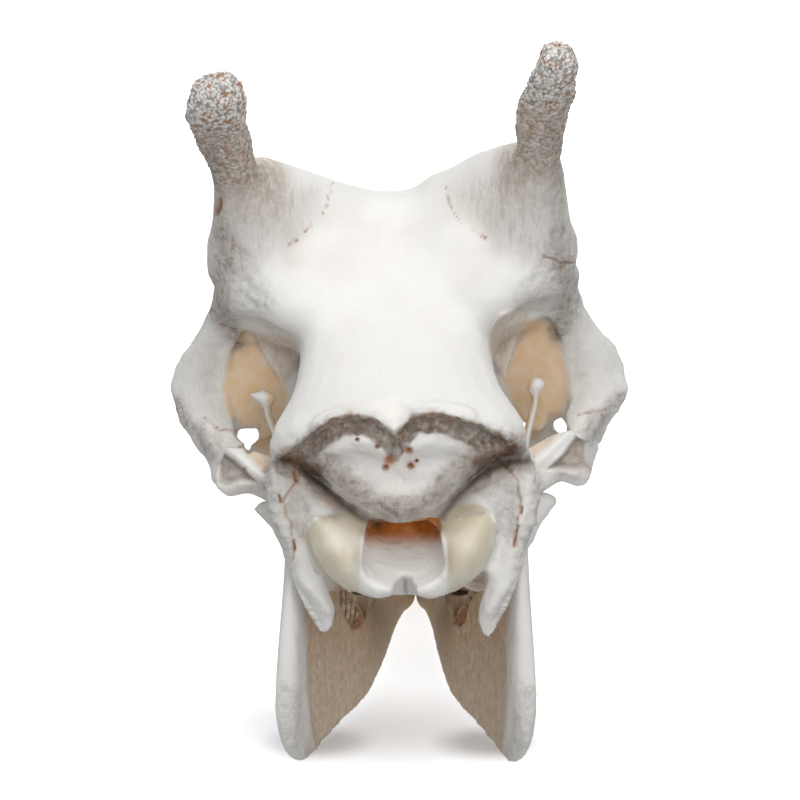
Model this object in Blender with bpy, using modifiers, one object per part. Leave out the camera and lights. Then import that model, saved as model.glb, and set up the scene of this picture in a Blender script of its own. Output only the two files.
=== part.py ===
"""Giraffe skull at life size: cranium, ossicones, cheek arches and the lower jaw that it stands on.

Lengths are in millimetres until a mesh is made. The snout points along +Y, up is +Z, the
animal's right side is +X, and y = 0 is the rear of the occipital condyles while it is built.
"""

import math
import random
from functools import partial

import bmesh
import bpy
from mathutils import Matrix, Vector

MM = 0.001

# Driving sizes of the cranium
CREST_HALF = 69.0
CREST_SWEEP = 18.0
CONDYLE_TILT = math.radians(50.0)
MAGNUM_HALF = 22.5
MAGNUM_TOP = 153.5
MAGNUM_FLOOR = 122.0
SNOUT_TIP = 606.0

# Orbits: tubular rims that face outwards and a little forwards
ORBIT_CENTRE = (116.0, 211.0, 203.0)
ORBIT_AXIS = (0.88, 0.46, 0.08)
ORBIT_RADIUS = 30.0
ORBIT_WALL = 6.5
CHEEK_FLARE = {1: 0.0, -1: 3.5}
LIGHT_GAP_IN = {1: 5.0, -1: 0.0}
LIGHT_GAP_HALF = {1: 6.6, -1: 8.0}

# Ossicones: shafts that lean back, with a knob at the tip, stouter on the left
OSSICONE_TIP = {1: (88.5, 46.0, 389.5), -1: (92.5, 46.0, 388.5)}
OSSICONE_SHAFT = {1: 12.2, -1: 13.0}
OSSICONE_KNOB = {1: 13.2, -1: 15.6}

# Lower jaw
SYMPHYSIS_Y = 436.0
JAW_TIP_Y = 574.0
CORONOID_TOP = (79.0, 136.0, 209.0)
JAW_CONDYLE = (75.0, 97.0, 147.0)

# Cheek teeth: three premolars and three molars a row, lengths from front to back
TOOTH_LENGTHS = (19.0, 20.0, 21.0, 25.0, 28.0, 29.0)
UPPER_ROW_FRONT = 346.0
LOWER_ROW_FRONT = 342.0
BITE_REAR_Y = 195.0
BITE_REAR = 71.0
BITE_SLOPE = 0.088
BITE_GAP = 0.7
INCISORS = 4
TOOTH_SEED = 11

# Lean of the upper skull over the jaw
LEAN_X = -9.0
LEAN_ROLL = 0.052
TIP_ROLL = 0.035

# Working sizes
VOXEL = 2.4
SMOOTH_PASSES = 7
PART_GAP = 0.3
ARCH_YAW = math.radians(18.0)
OSSICONE_CUT_Z = 352.0
FACE_CUT_Y = 264.0
TOOTH_CUT_Y = 187.0
TOOTH_CUT_Z = 119.0
RING = 40
JAW_RING = 14
CRANIUM_TRIANGLES = 7600
BROAD_PASSES = 140


def smoothstep(value, low, high):
    t = min(1.0, max(0.0, (value - low) / (high - low)))
    return t * t * (3.0 - 2.0 * t)


def signed_power(value, power):
    return math.copysign(abs(value) ** power, value)


def between(a, b, t):
    return a + (b - a) * t


def through(rows, steps=4):
    """Rows read off a smooth curve that passes through the given rows."""
    last = len(rows) - 1
    smooth = []
    for i in range(last):
        a = rows[max(i - 1, 0)]
        b = rows[i]
        c = rows[i + 1]
        d = rows[min(i + 2, last)]
        for k in range(steps):
            t = k / steps
            smooth.append([
                0.5 * (2 * q + (r - p) * t + (2 * p - 5 * q + 4 * r - s) * t * t
                       + (3 * q - p - 3 * r + s) * t ** 3)
                for p, q, r, s in zip(a, b, c, d)
            ])
    smooth.append(list(rows[last]))
    return smooth


def new_object(name, model):
    """Object that takes over a bmesh whose points are in metres."""
    mesh = bpy.data.meshes.new(name)
    model.to_mesh(mesh)
    model.free()
    obj = bpy.data.objects.new(name, mesh)
    bpy.context.scene.collection.objects.link(obj)
    return obj


def skin(name, rings):
    """Closed loft through rings of points, capped at both ends."""
    model = bmesh.new()
    loops = [[model.verts.new(Vector(point) * MM) for point in ring] for ring in rings]
    count = len(loops[0])
    for near, far in zip(loops, loops[1:]):
        for k in range(count):
            j = (k + 1) % count
            model.faces.new((near[k], near[j], far[j], far[k]))
    caps = [model.faces.new(loops[0][::-1]), model.faces.new(loops[-1])]
    bmesh.ops.triangulate(model, faces=caps)
    bmesh.ops.recalc_face_normals(model, faces=model.faces)
    return new_object(name, model)


def ring_steps(count, power):
    """Across and up factors round a ring that is squarer as power rises above 2."""
    for k in range(count):
        angle = 2.0 * math.pi * k / count
        yield (signed_power(math.cos(angle), 2.0 / power), signed_power(math.sin(angle), 2.0 / power))


def upright_body(name, rows, power=2.3, sweep=0.0):
    """Loft along Y. Each row is y, lowest, widest and highest level, and half width.

    sweep carries the sides of the rear sections forwards, and fades out along the body.
    """
    rings = []
    for y, low, wide, top, half in through(rows):
        fade = 1.0 - smoothstep(y, 20.0, 90.0)
        ring = []
        for across, rise in ring_steps(RING, power):
            reach = top - wide if rise > 0.0 else wide - low
            x = half * across
            ring.append((x, y + sweep * fade * (x / CREST_HALF) ** 2, wide + reach * rise))
        rings.append(ring)
    return skin(name, rings)


def limb(name, rows, facing=(1.0, 0.0, 0.0), power=2.0, count=16, steps=4):
    """Loft along a path. Each row is x, y, z, half width along facing, and half depth."""
    rows = through(rows, steps)
    points = [Vector(row[:3]) for row in rows]
    rings = []
    for i, row in enumerate(rows):
        ahead = points[min(i + 1, len(points) - 1)] - points[max(i - 1, 0)]
        ahead.normalize()
        wide = Vector(facing) - ahead * ahead.dot(Vector(facing))
        wide.normalize()
        deep = ahead.cross(wide)
        rings.append([points[i] + wide * (row[3] * across) + deep * (row[4] * rise)
                      for across, rise in ring_steps(count, power)])
    return skin(name, rings)


def blob(name, centre, radii, axis=(1.0, 0.0, 0.0), segments=28):
    """Ellipsoid whose first radius lies along axis."""
    first = Vector(axis).normalized()
    second = Vector((0.0, 0.0, 1.0)).cross(first).normalized()
    third = first.cross(second)
    turn = Matrix((first, second, third)).transposed().to_4x4()
    size = Matrix.Diagonal((radii[0] * MM, radii[1] * MM, radii[2] * MM, 1.0))
    model = bmesh.new()
    bmesh.ops.create_uvsphere(model, u_segments=segments, v_segments=segments // 2, radius=1.0)
    bmesh.ops.transform(model, matrix=Matrix.Translation(Vector(centre) * MM) @ turn @ size,
                        verts=model.verts)
    return new_object(name, model)


def box(name, low, high, turn=None):
    """Box between two corners, turned about its middle by an optional matrix."""
    low = Vector(low) * MM
    high = Vector(high) * MM
    place = Matrix.Translation((low + high) / 2.0)
    if turn is not None:
        place = place @ turn.to_4x4()
    model = bmesh.new()
    bmesh.ops.create_cube(model, size=1.0)
    size = Matrix.Diagonal((*(high - low), 1.0))
    bmesh.ops.transform(model, matrix=place @ size, verts=model.verts)
    return new_object(name, model)


def sided(side, *rows):
    """Rows with x turned to the side wanted: 1 is right and -1 is left."""
    return [(side * row[0], *row[1:]) for row in rows]


def apply_modifiers(obj):
    """Turns what the modifiers show into the object's own mesh."""
    graph = bpy.context.evaluated_depsgraph_get()
    mesh = bpy.data.meshes.new_from_object(obj.evaluated_get(graph))
    obj.modifiers.clear()
    obj.data = mesh


def combine(base, others, operation, solver="EXACT"):
    """Boolean of the base with a collection of closed meshes, which are then removed."""
    group = bpy.data.collections.new("operands")
    bpy.context.scene.collection.children.link(group)
    for other in others:
        bpy.context.scene.collection.objects.unlink(other)
        group.objects.link(other)
        other.hide_render = True
        other.display_type = "WIRE"
    boolean = base.modifiers.new("combine", "BOOLEAN")
    boolean.operand_type = "COLLECTION"
    boolean.collection = group
    boolean.operation = operation
    boolean.solver = solver
    apply_modifiers(base)
    for other in others:
        bpy.data.objects.remove(other)
    bpy.data.collections.remove(group)
    return base


def keep_largest(obj):
    """Drops every closed surface of the mesh but the largest one."""
    model = bmesh.new()
    model.from_mesh(obj.data)
    unseen = set(model.verts)
    bodies = []
    while unseen:
        body = [unseen.pop()]
        for vert in body:
            for edge in vert.link_edges:
                other = edge.other_vert(vert)
                if other in unseen:
                    unseen.remove(other)
                    body.append(other)
        bodies.append(body)
    bodies.sort(key=len)
    for body in bodies[:-1]:
        bmesh.ops.delete(model, geom=body, context="VERTS")
    model.to_mesh(obj.data)
    model.free()
    return obj


def triangle_count(obj):
    return sum(len(face.vertices) - 2 for face in obj.data.polygons)


def soften(obj, voxel, passes, triangles, broad=None):
    """One smooth skin of even faces over the joined pieces, thinned to a count of triangles.

    broad gives, for a place in millimetres, how far it takes part in a second, wider smoothing.
    """
    remesh = obj.modifiers.new("even", "REMESH")
    remesh.mode = "VOXEL"
    remesh.voxel_size = voxel * MM
    smooth = obj.modifiers.new("smooth", "SMOOTH")
    smooth.factor = 0.5
    smooth.iterations = passes
    apply_modifiers(obj)
    if broad is not None:
        group = obj.vertex_groups.new(name="broad")
        for vert in obj.data.vertices:
            group.add([vert.index], broad(*(vert.co / MM)), "REPLACE")
        wide = obj.modifiers.new("broad", "SMOOTH")
        wide.factor = 0.5
        wide.iterations = BROAD_PASSES
        wide.vertex_group = group.name
        apply_modifiers(obj)
        obj.vertex_groups.clear()
    thin = obj.modifiers.new("thin", "DECIMATE")
    thin.ratio = triangles / triangle_count(obj)
    thin.use_collapse_triangulate = True
    apply_modifiers(obj)
    return keep_largest(obj)


def broad_share(x, y, z):
    """Share of wide smoothing: full on the vault, brow and upper face, none on what is thin."""
    off_crest = smoothstep(y, 24.0, 60.0)
    off_arches = max(smoothstep(z, 246.0, 268.0), smoothstep(-abs(x), -66.0, -56.0),
                     smoothstep(y, 258.0, 276.0))
    off_base = smoothstep(z, 104.0 + 46.0 * (1.0 - smoothstep(y, 225.0, 262.0)),
                          122.0 + 46.0 * (1.0 - smoothstep(y, 225.0, 262.0)))
    off_shafts = 1.0 - smoothstep(z, 336.0, 352.0) * smoothstep(abs(x), 60.0, 72.0)
    off_snout = 1.0 - smoothstep(y, 375.0, 400.0)
    return off_crest * off_arches * off_base * off_shafts * off_snout


def lean(obj):
    """Carries the upper skull a little to the left and rolls its right side up."""
    for vert in obj.data.vertices:
        x, y, z = vert.co / MM
        shift = LEAN_X * smoothstep(z, 110.0, 290.0)
        rise = x * (LEAN_ROLL * smoothstep(z, 90.0, 190.0) + TIP_ROLL * smoothstep(z, 300.0, 395.0))
        vert.co = Vector((x + shift, y, z + rise)) * MM


def bite_level(y):
    """Height of the line where upper and lower cheek teeth meet."""
    return BITE_REAR - BITE_SLOPE * (y - BITE_REAR_Y)


def braincase_body():
    """Domed braincase that flares at the rear into the overhanging nuchal crest."""
    rows = [
        (0.0, 203.5, 206.0, 211.0, 34.0),
        (6.0, 195.0, 200.0, 217.0, 56.0),
        (14.0, 188.0, 195.0, 222.0, 67.0),
        (26.0, 168.0, 192.0, 227.0, 71.0),
        (45.0, 118.0, 195.0, 235.0, 68.0),
        (65.0, 108.0, 211.0, 245.0, 60.5),
        (85.0, 106.0, 225.0, 256.5, 56.5),
        (110.0, 108.0, 233.0, 272.0, 55.0),
        (140.0, 110.0, 238.0, 290.0, 55.0),
        (175.0, 112.0, 240.0, 308.0, 55.0),
        (205.0, 114.0, 240.0, 305.0, 51.0),
    ]
    return upright_body("braincase_body", rows, 2.15, CREST_SWEEP)


def crest_peak(side):
    return blob("crest_peak", (side * 25.0, 11.0, 212.5), (21.0, 10.0, 8.0), (1.0, side * 0.12, side * -0.1))


def skull_base():
    """Midline bar from the condyles to the palate."""
    rows = [
        (5.0, 119.0, 128.0, 140.0, 14.0),
        (22.0, 117.0, 128.0, 142.0, 24.0),
        (50.0, 113.0, 126.0, 144.0, 27.0),
        (90.0, 113.0, 127.0, 146.0, 22.0),
        (130.0, 116.0, 131.0, 152.0, 17.0),
        (180.0, 114.0, 133.0, 165.0, 17.0),
        (225.0, 104.0, 135.0, 170.0, 22.0),
    ]
    return upright_body("skull_base", rows)


def occiput_plate():
    """Bone around the foramen magnum, spread out to the mastoids."""
    rows = [
        (26.0, 118.0, 146.0, 170.0, 34.0),
        (35.0, 110.0, 150.0, 184.0, 56.0),
        (50.0, 106.0, 154.0, 192.0, 69.0),
        (68.0, 110.0, 156.0, 190.0, 66.0),
        (82.0, 118.0, 158.0, 184.0, 54.0),
    ]
    return upright_body("occiput_plate", rows, 2.2, 6.0)


def nuchal_shield():
    """Plate under the crest that comes to a blunt point above the foramen magnum."""
    pieces = [
        blob("shield_core", (0.0, 34.0, 186.0), (46.0, 14.0, 20.0)),
        blob("shield_point", (0.0, 18.5, 164.0), (13.0, 10.0, 10.0)),
        blob("magnum_roof", (0.0, 31.0, 158.0), (26.0, 16.0, 9.0)),
    ]
    for side in (1, -1):
        edge = sided(
            side,
            (-2.0, 19.5, 163.5, 8.0, 8.0),
            (19.0, 20.0, 169.5, 8.5, 8.0),
            (39.0, 24.0, 183.0, 7.5, 8.5),
            (56.0, 31.0, 192.5, 5.5, 7.0),
            (66.0, 39.0, 196.0, 4.0, 6.0),
        )
        pieces.append(limb("shield_edge", edge, (0.0, 0.0, 1.0)))
        pieces.append(blob("shield_boss", (side * 17.0, 25.0, 183.0), (17.0, 11.0, 16.0)))
    return pieces


def condyle(side):
    axis = (side * math.cos(CONDYLE_TILT), 0.0, math.sin(CONDYLE_TILT))
    return [
        blob("condyle", (side * 30.5, 15.5, 138.0), (28.5, 17.0, 15.0), axis),
        blob("condyle_foot", (side * 13.0, 16.0, 121.0), (15.0, 14.0, 8.0)),
    ]


def paroccipital_process(side):
    rows = sided(
        side,
        (62.0, 48.0, 165.0, 10.0, 12.0),
        (59.0, 47.0, 140.0, 10.5, 9.0),
        (55.0, 45.0, 120.0, 9.0, 7.0),
        (50.0, 43.0, 102.0, 6.5, 5.0),
        (45.0, 42.0, 85.0, 2.8, 3.2),
    )
    return limb("paroccipital_process", rows)


def ear_region(side):
    """Mastoid, ear canal and the bulla under it."""
    canal = sided(
        side,
        (56.0, 62.0, 150.0, 10.0, 12.0),
        (67.0, 62.0, 148.0, 8.0, 9.0),
        (75.5, 61.0, 147.0, 6.0, 7.0),
    )
    return [
        blob("mastoid", (side * 64.0, 46.0, 162.0), (11.0, 14.0, 28.0)),
        limb("ear_canal", canal, (0.0, 1.0, 0.0)),
        blob("bulla", (side * 40.0, 76.0, 113.0), (13.0, 18.0, 15.0)),
    ]


def brow_body():
    """Wide frontal roof that carries the ossicones and the orbits."""
    rows = [
        (92.0, 240.0, 250.0, 258.0, 40.0),
        (103.0, 254.0, 260.0, 267.0, 78.0),
        (118.0, 250.0, 265.0, 278.0, 97.0),
        (140.0, 240.0, 270.0, 292.0, 104.0),
        (165.0, 228.0, 272.0, 307.0, 105.0),
        (190.0, 221.0, 270.0, 319.0, 104.0),
        (220.0, 214.0, 258.0, 313.0, 96.0),
        (250.0, 204.0, 240.0, 302.0, 82.0),
        (285.0, 186.0, 214.0, 282.0, 62.0),
        (320.0, 170.0, 190.0, 250.0, 44.0),
    ]
    return upright_body("brow_body", rows, 2.5)


def brow_corner(side):
    """Rear wall of the frontal, from the ossicone down to the rim over the temporal hollow."""
    rows = sided(
        side,
        (83.0, 110.0, 332.0, 13.0, 16.0),
        (84.0, 115.0, 310.0, 19.0, 18.0),
        (84.0, 121.0, 288.0, 22.0, 18.0),
        (82.0, 128.0, 268.0, 21.0, 15.0),
        (80.0, 131.0, 258.0, 15.0, 9.0),
    )
    return limb("brow_corner", rows)


def roof_ridge(side):
    """Roof that climbs from the saddle in the middle to the shaft of the ossicone."""
    rows = sided(
        side,
        (-6.0, 186.0, 297.0, 22.0, 28.0),
        (26.0, 178.0, 302.0, 25.0, 30.0),
        (48.0, 165.0, 308.0, 27.5, 30.0),
        (65.0, 147.0, 318.0, 27.0, 28.0),
        (76.0, 124.0, 329.5, 22.0, 25.0),
        (83.0, 106.0, 336.0, 15.0, 18.0),
    )
    return limb("roof_ridge", rows, (0.0, 0.0, 1.0), count=24)


def brow_boss():
    """Low median swelling in front of the ossicones."""
    return blob("brow_boss", (0.0, 258.0, 289.0), (48.0, 34.0, 17.0), (0.0, 0.86, -0.5))


def vault_side(side):
    """Fills the corner where the vault runs out under the frontal roof."""
    return [
        blob("vault_side", (side * 56.0, 113.0, 265.0), (24.0, 26.0, 17.0), (1.0, 0.0, side * 0.15)),
        blob("vault_front", (side * 45.0, 147.0, 289.0), (34.0, 32.0, 18.0)),
    ]


def ossicone(side):
    x, y, z = OSSICONE_TIP[side]
    knob = OSSICONE_KNOB[side]
    shaft = OSSICONE_SHAFT[side]
    rows = sided(
        side,
        (x + 1.0, y - 8.0, z + 11.0, 0.3 * knob, 0.3 * knob),
        (x + 0.8, y - 7.0, z + 9.0, 0.72 * knob, 0.72 * knob),
        (x, y, z, knob, knob),
        (x - 2.5, y + 18.0, z - 20.0, 0.98 * shaft, 0.98 * shaft),
        (x - 4.5, y + 38.0, z - 42.0, 1.06 * shaft, 1.12 * shaft),
        (x - 7.0, y + 56.0, z - 62.0, 1.36 * shaft, 1.45 * shaft),
        (x - 8.0, y + 76.0, z - 84.0, 1.6 * shaft, 1.8 * shaft),
        (x - 9.0, y + 98.0, z - 106.0, 1.7 * shaft, 2.0 * shaft),
    )
    return limb("ossicone", rows, count=24)


def orbit(side):
    """Cup behind the rim, the plate behind the cup, and what ties the rim to the brow."""
    axis = Vector(ORBIT_AXIS)
    outer = ORBIT_RADIUS + ORBIT_WALL
    centre = Vector(ORBIT_CENTRE) - axis * 13.0
    centre.x *= side
    flare = CHEEK_FLARE[side]
    rear_plate = sided(
        side,
        (95.0, 146.0, 268.0, 13.0, 10.0),
        (103.0 + flare / 2.0, 156.0, 252.0, 15.0, 6.5),
        (112.0 + flare, 164.0, 234.0, 17.0, 5.0),
        (118.0 + flare, 168.0, 212.0, 18.5, 4.5),
        (117.0 + flare, 166.0, 193.0, 18.0, 4.5),
        (110.0 + flare / 2.0, 159.0, 178.0, 16.0, 5.0),
        (107.0, 148.0, 171.0, 9.0, 6.0),
    )
    front_bar = sided(
        side,
        (82.0, 232.0, 254.0, 16.0, 16.0),
        (91.0, 240.0, 230.0, 11.0, 13.0),
        (94.0, 243.0, 206.0, 9.0, 11.0),
        (93.0, 243.0, 184.0, 9.0, 11.0),
        (90.0, 242.0, 168.0, 8.0, 11.0),
    )
    return [
        blob("orbit_cup", centre, (33.0, outer + 1.0, outer), (side * axis.x, axis.y, axis.z), 36),
        limb("rear_plate", rear_plate, (side * 0.93, 0.36, 0.0)),
        limb("front_bar", front_bar),
        blob("orbit_wall", (side * 83.0, 180.0, 214.0), (32.0, 10.0, 38.0), (side * 0.88, -0.47, 0.0)),
        blob("orbit_roof", (side * 94.0, 200.0, 246.0), (25.0, 40.0, 18.0)),
    ]


def cheek(side):
    """Bar under the orbit, and the ridge that runs from it down to the tooth row."""
    under = sided(
        side,
        (120.0, 168.0, 175.0, 5.5, 9.0),
        (120.0, 190.0, 168.0, 5.0, 7.5),
        (114.0, 215.0, 165.0, 6.0, 7.0),
        (101.0, 238.0, 163.0, 7.0, 8.0),
        (86.0, 256.0, 156.0, 8.0, 11.0),
        (70.0, 276.0, 140.0, 9.0, 15.0),
        (54.0, 300.0, 124.0, 9.0, 16.0),
    )
    return limb("cheek", under)


def cheek_arch(side):
    """Bar from the jaw joint forwards to the rear of the orbit, with its broad root."""
    bar = sided(
        side,
        (97.0, 92.0, 174.0, 7.0, 12.5),
        (102.0, 106.0, 173.0, 6.0, 11.0),
        (108.0, 124.0, 172.0, 5.0, 9.0),
        (114.0, 144.0, 174.0, 5.0, 9.5),
        (119.0, 164.0, 179.0, 6.5, 11.0),
    )
    root = sided(
        side,
        (54.0, 80.0, 158.0, 15.0, 13.0),
        (70.0, 86.0, 164.0, 12.0, 13.0),
        (84.0, 91.0, 170.0, 10.0, 12.0),
        (97.0, 95.0, 175.5, 9.0, 12.5),
    )
    return [
        limb("arch_bar", bar),
        limb("arch_root", root, (0.0, 1.0, 0.0)),
        blob("joint_lip", (side * 94.0, 84.0, 167.0), (10.0, 5.0, 6.5)),
    ]


def face_body():
    """Maxillae and nasals, from between the orbits to the nasal tips."""
    rows = [
        (196.0, 128.0, 200.0, 300.0, 66.0),
        (222.0, 106.0, 200.0, 306.0, 74.0),
        (250.0, 94.0, 186.0, 300.0, 74.0),
        (280.0, 91.0, 164.0, 285.0, 66.0),
        (310.0, 89.0, 150.0, 266.0, 57.0),
        (345.0, 86.0, 138.0, 244.0, 47.0),
        (380.0, 82.0, 126.0, 222.0, 38.0),
        (415.0, 79.0, 116.0, 200.0, 30.0),
        (440.0, 78.0, 108.0, 176.0, 23.0),
        (462.0, 80.0, 100.0, 138.0, 13.0),
    ]
    return upright_body("face_body", rows, 2.1)


def cheek_wall(side):
    """Side wall of the maxilla above the tooth row."""
    rows = sided(
        side,
        (45.0, 205.0, 122.0, 12.0, 24.0),
        (50.0, 245.0, 122.0, 14.0, 28.0),
        (50.0, 285.0, 116.0, 13.0, 28.0),
        (43.0, 325.0, 110.0, 12.0, 25.0),
        (34.0, 365.0, 104.0, 10.0, 20.0),
        (27.0, 400.0, 98.0, 8.0, 15.0),
    )
    return limb("cheek_wall", rows)


def nasal_tips():
    """Pointed roof that overhangs the nose opening."""
    rows = [
        (0.0, 395.0, 200.0, 21.0, 12.0),
        (0.0, 425.0, 184.0, 17.0, 10.0),
        (0.0, 448.0, 172.0, 11.0, 7.0),
        (0.0, 462.0, 164.0, 5.0, 4.0),
    ]
    return limb("nasal_tips", rows)


def snout():
    """Premaxillae, which widen again into the pad above the incisors."""
    rows = [
        (400.0, 78.0, 100.0, 150.0, 31.0),
        (432.0, 75.0, 98.0, 134.0, 27.0),
        (465.0, 71.0, 92.0, 121.0, 24.0),
        (500.0, 66.0, 84.0, 107.0, 23.0),
        (535.0, 60.0, 73.0, 91.0, 26.0),
        (568.0, 55.0, 64.0, 76.0, 31.0),
        (592.0, 52.5, 58.0, 66.0, 28.0),
        (SNOUT_TIP - 3.0, 52.5, 56.0, 60.0, 17.0),
        (SNOUT_TIP, 54.0, 56.0, 58.0, 8.0),
    ]
    return upright_body("snout", rows, 2.4)


def tooth_ridge(side):
    """Bone that the upper cheek teeth stand in."""
    rows = sided(
        side,
        (37.0, 186.0, 112.0, 10.0, 14.0),
        (38.5, 205.0, 100.0, 13.5, 15.0),
        (39.5, 240.0, 98.0, 14.5, 16.0),
        (37.5, 285.0, 94.0, 13.5, 15.0),
        (33.0, 325.0, 90.0, 11.5, 14.0),
        (28.0, 356.0, 88.0, 8.0, 12.0),
    )
    return limb("tooth_ridge", rows)


def pterygoid(side):
    """Thin wall beside the rear of the nose passage."""
    rows = sided(
        side,
        (17.0, 140.0, 134.0, 4.0, 12.0),
        (21.0, 168.0, 118.0, 3.5, 20.0),
        (26.0, 195.0, 110.0, 4.5, 22.0),
        (32.0, 218.0, 108.0, 6.0, 20.0),
    )
    return limb("pterygoid", rows)


def cranium_hollows():
    """Cutters for the openings of the cranium, all of them blind."""
    mid = (MAGNUM_TOP + MAGNUM_FLOOR) / 2.0
    rise = (MAGNUM_TOP - MAGNUM_FLOOR) / 2.0
    magnum = [
        (0.0, -12.0, mid - 1.0, MAGNUM_HALF, rise),
        (0.0, 14.0, mid, MAGNUM_HALF, rise),
        (0.0, 34.0, mid + 5.0, MAGNUM_HALF - 2.0, rise - 3.0),
        (0.0, 54.0, mid + 9.0, MAGNUM_HALF - 7.0, rise - 7.0),
    ]
    notch = [
        (0.0, -6.0, 116.0, 5.4, 9.0),
        (0.0, 14.0, 117.0, 5.4, 9.0),
        (0.0, 28.0, 117.0, 4.0, 6.0),
    ]
    nose = [
        (0.0, 395.0, 150.0, 12.0, 22.0),
        (0.0, 430.0, 138.0, 14.0, 28.0),
        (0.0, 470.0, 122.0, 13.0, 24.0),
        (0.0, 510.0, 106.0, 11.0, 18.0),
        (0.0, 545.0, 92.0, 8.0, 11.0),
        (0.0, 566.0, 84.0, 4.0, 5.0),
    ]
    nose_mouth = [
        (0.0, 396.0, 160.0, 60.0, 2.0),
        (0.0, 420.0, 153.0, 60.0, 8.0),
        (0.0, 445.0, 146.0, 60.0, 15.0),
        (0.0, 480.0, 140.0, 60.0, 22.0),
    ]
    choana = [
        (0.0, 152.0, 100.0, 10.0, 12.0),
        (0.0, 190.0, 98.0, 16.0, 18.0),
        (0.0, 222.0, 98.0, 20.0, 14.0),
        (0.0, 246.0, 92.0, 14.0, 6.0),
    ]
    cutters = [
        limb("magnum", magnum, power=2.6),
        limb("magnum_notch", notch),
        limb("nose", nose),
        limb("nose_mouth", nose_mouth, power=4.0),
        blob("crest_dip", (0.0, 0.0, 219.0), (11.0, 15.0, 8.0)),
        limb("choana", choana),
    ]
    for side in (1, -1):
        axis = Vector((side * ORBIT_AXIS[0], ORBIT_AXIS[1], ORBIT_AXIS[2]))
        centre = Vector((side * ORBIT_CENTRE[0], ORBIT_CENTRE[1], ORBIT_CENTRE[2]))
        inward = LIGHT_GAP_IN[side]
        half = LIGHT_GAP_HALF[side]
        gap = sided(
            side,
            (90.0 - inward, 135.0, 184.0, half, half),
            (96.0 - inward, 180.0, 175.5, half, half),
            (103.0 - inward, 250.0, 163.0, half, 0.8 * half),
            (110.0 - inward, 330.0, 149.0, half, 0.8 * half),
        )
        fissure = sided(
            side,
            (8.0, 505.0, 78.0, 3.0, 14.0),
            (10.0, 540.0, 68.0, 4.0, 14.0),
            (9.0, 568.0, 62.0, 3.0, 12.0),
        )
        cutters += [
            blob("temporal_hollow", (side * 81.0, 118.0, 233.0 + side), (27.0, 36.0, 27.0)),
            blob("orbit_hollow", centre + axis * 8.0, (46.0, ORBIT_RADIUS, ORBIT_RADIUS), axis, 36),
            blob("shield_pocket", (side * 45.0, 26.0, 169.0), (19.0, 17.0, 9.0),
                 (side * 0.8, 0.25, 0.55)),
            limb("light_gap", gap),
            limb("palate_fissure", fissure),
            blob("tear_fissure", (side * 60.0, 292.0, 228.0), (7.0, 30.0, 6.0)),
            blob("ear_hole", (side * 79.0, 60.0, 147.0), (14.0, 3.6, 3.6)),
            blob("brow_pit", (side * 46.0, 238.0, 303.0), (5.0, 9.0, 9.0)),
            blob("cheek_hole", (side * 44.0, 352.0, 124.0), (9.0, 7.0, 5.0)),
        ]
    return cutters


def build_cranium():
    """The whole cranium as one closed skin, before it is parted into its nodes."""
    pieces = [skull_base(), occiput_plate(), brow_body(), brow_boss(), face_body(), nasal_tips(), snout()]
    pieces += nuchal_shield()
    for side in (1, -1):
        pieces += condyle(side)
        pieces += ear_region(side)
        pieces += orbit(side)
        pieces += cheek_arch(side)
        pieces += [
            paroccipital_process(side),
            crest_peak(side),
            ossicone(side),
            roof_ridge(side),
            brow_corner(side),
            *vault_side(side),
            cheek(side),
            cheek_wall(side),
            tooth_ridge(side),
            pterygoid(side),
        ]
    cranium = combine(braincase_body(), pieces, "UNION")
    combine(cranium, cranium_hollows(), "DIFFERENCE")
    soften(cranium, VOXEL, SMOOTH_PASSES, CRANIUM_TRIANGLES, broad_share)
    lean(cranium)
    return cranium


def copy_of(obj, name):
    twin = obj.copy()
    twin.data = obj.data.copy()
    twin.name = name
    bpy.context.scene.collection.objects.link(twin)
    return twin


def grown_box(low, high, grow, turn=None):
    grow = Vector((grow, grow, grow))
    return box("parting_box", Vector(low) - grow, Vector(high) + grow, turn)


def face_shape(grow):
    """Space of the face: all in front of the orbits, and the tooth-bearing bone under them."""
    front = grown_box((-160.0, FACE_CUT_Y, 20.0), (160.0, 650.0, 340.0), grow)
    under = grown_box((-70.0, TOOTH_CUT_Y, 20.0), (70.0, 300.0, TOOTH_CUT_Z), grow)
    return combine(front, [under], "UNION")


def part_off(whole, name, shape):
    """Node inside a shape, taken off the whole with a thin gap between the two.

    shape makes the closed mesh that bounds the node, grown by the distance it is given.
    """
    node = copy_of(whole, name)
    combine(node, [shape(0.0)], "INTERSECT")
    combine(whole, [shape(PART_GAP)], "DIFFERENCE")
    keep_largest(whole)
    return keep_largest(node)


def cheek_tooth(name, centre, root, crown, length, width, turn):
    """Two-lobed crown between its root level and its worn top."""
    rings = []
    levels = ((0.0, 0.76), (0.7, 1.0), (1.0, 0.86))
    for t, swell in levels:
        ring = []
        for across, along in ring_steps(10, 2.8):
            waist = 1.0 - 0.2 * math.exp(-(along / 0.22) ** 2)
            x = 0.5 * width * swell * across * waist
            y = 0.5 * length * along * between(0.9, 1.0, swell)
            ring.append((centre[0] + x * math.cos(turn) - y * math.sin(turn),
                         centre[1] + x * math.sin(turn) + y * math.cos(turn),
                         between(root, crown, t)))
        rings.append(ring)
    return skin(name, rings)


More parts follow.
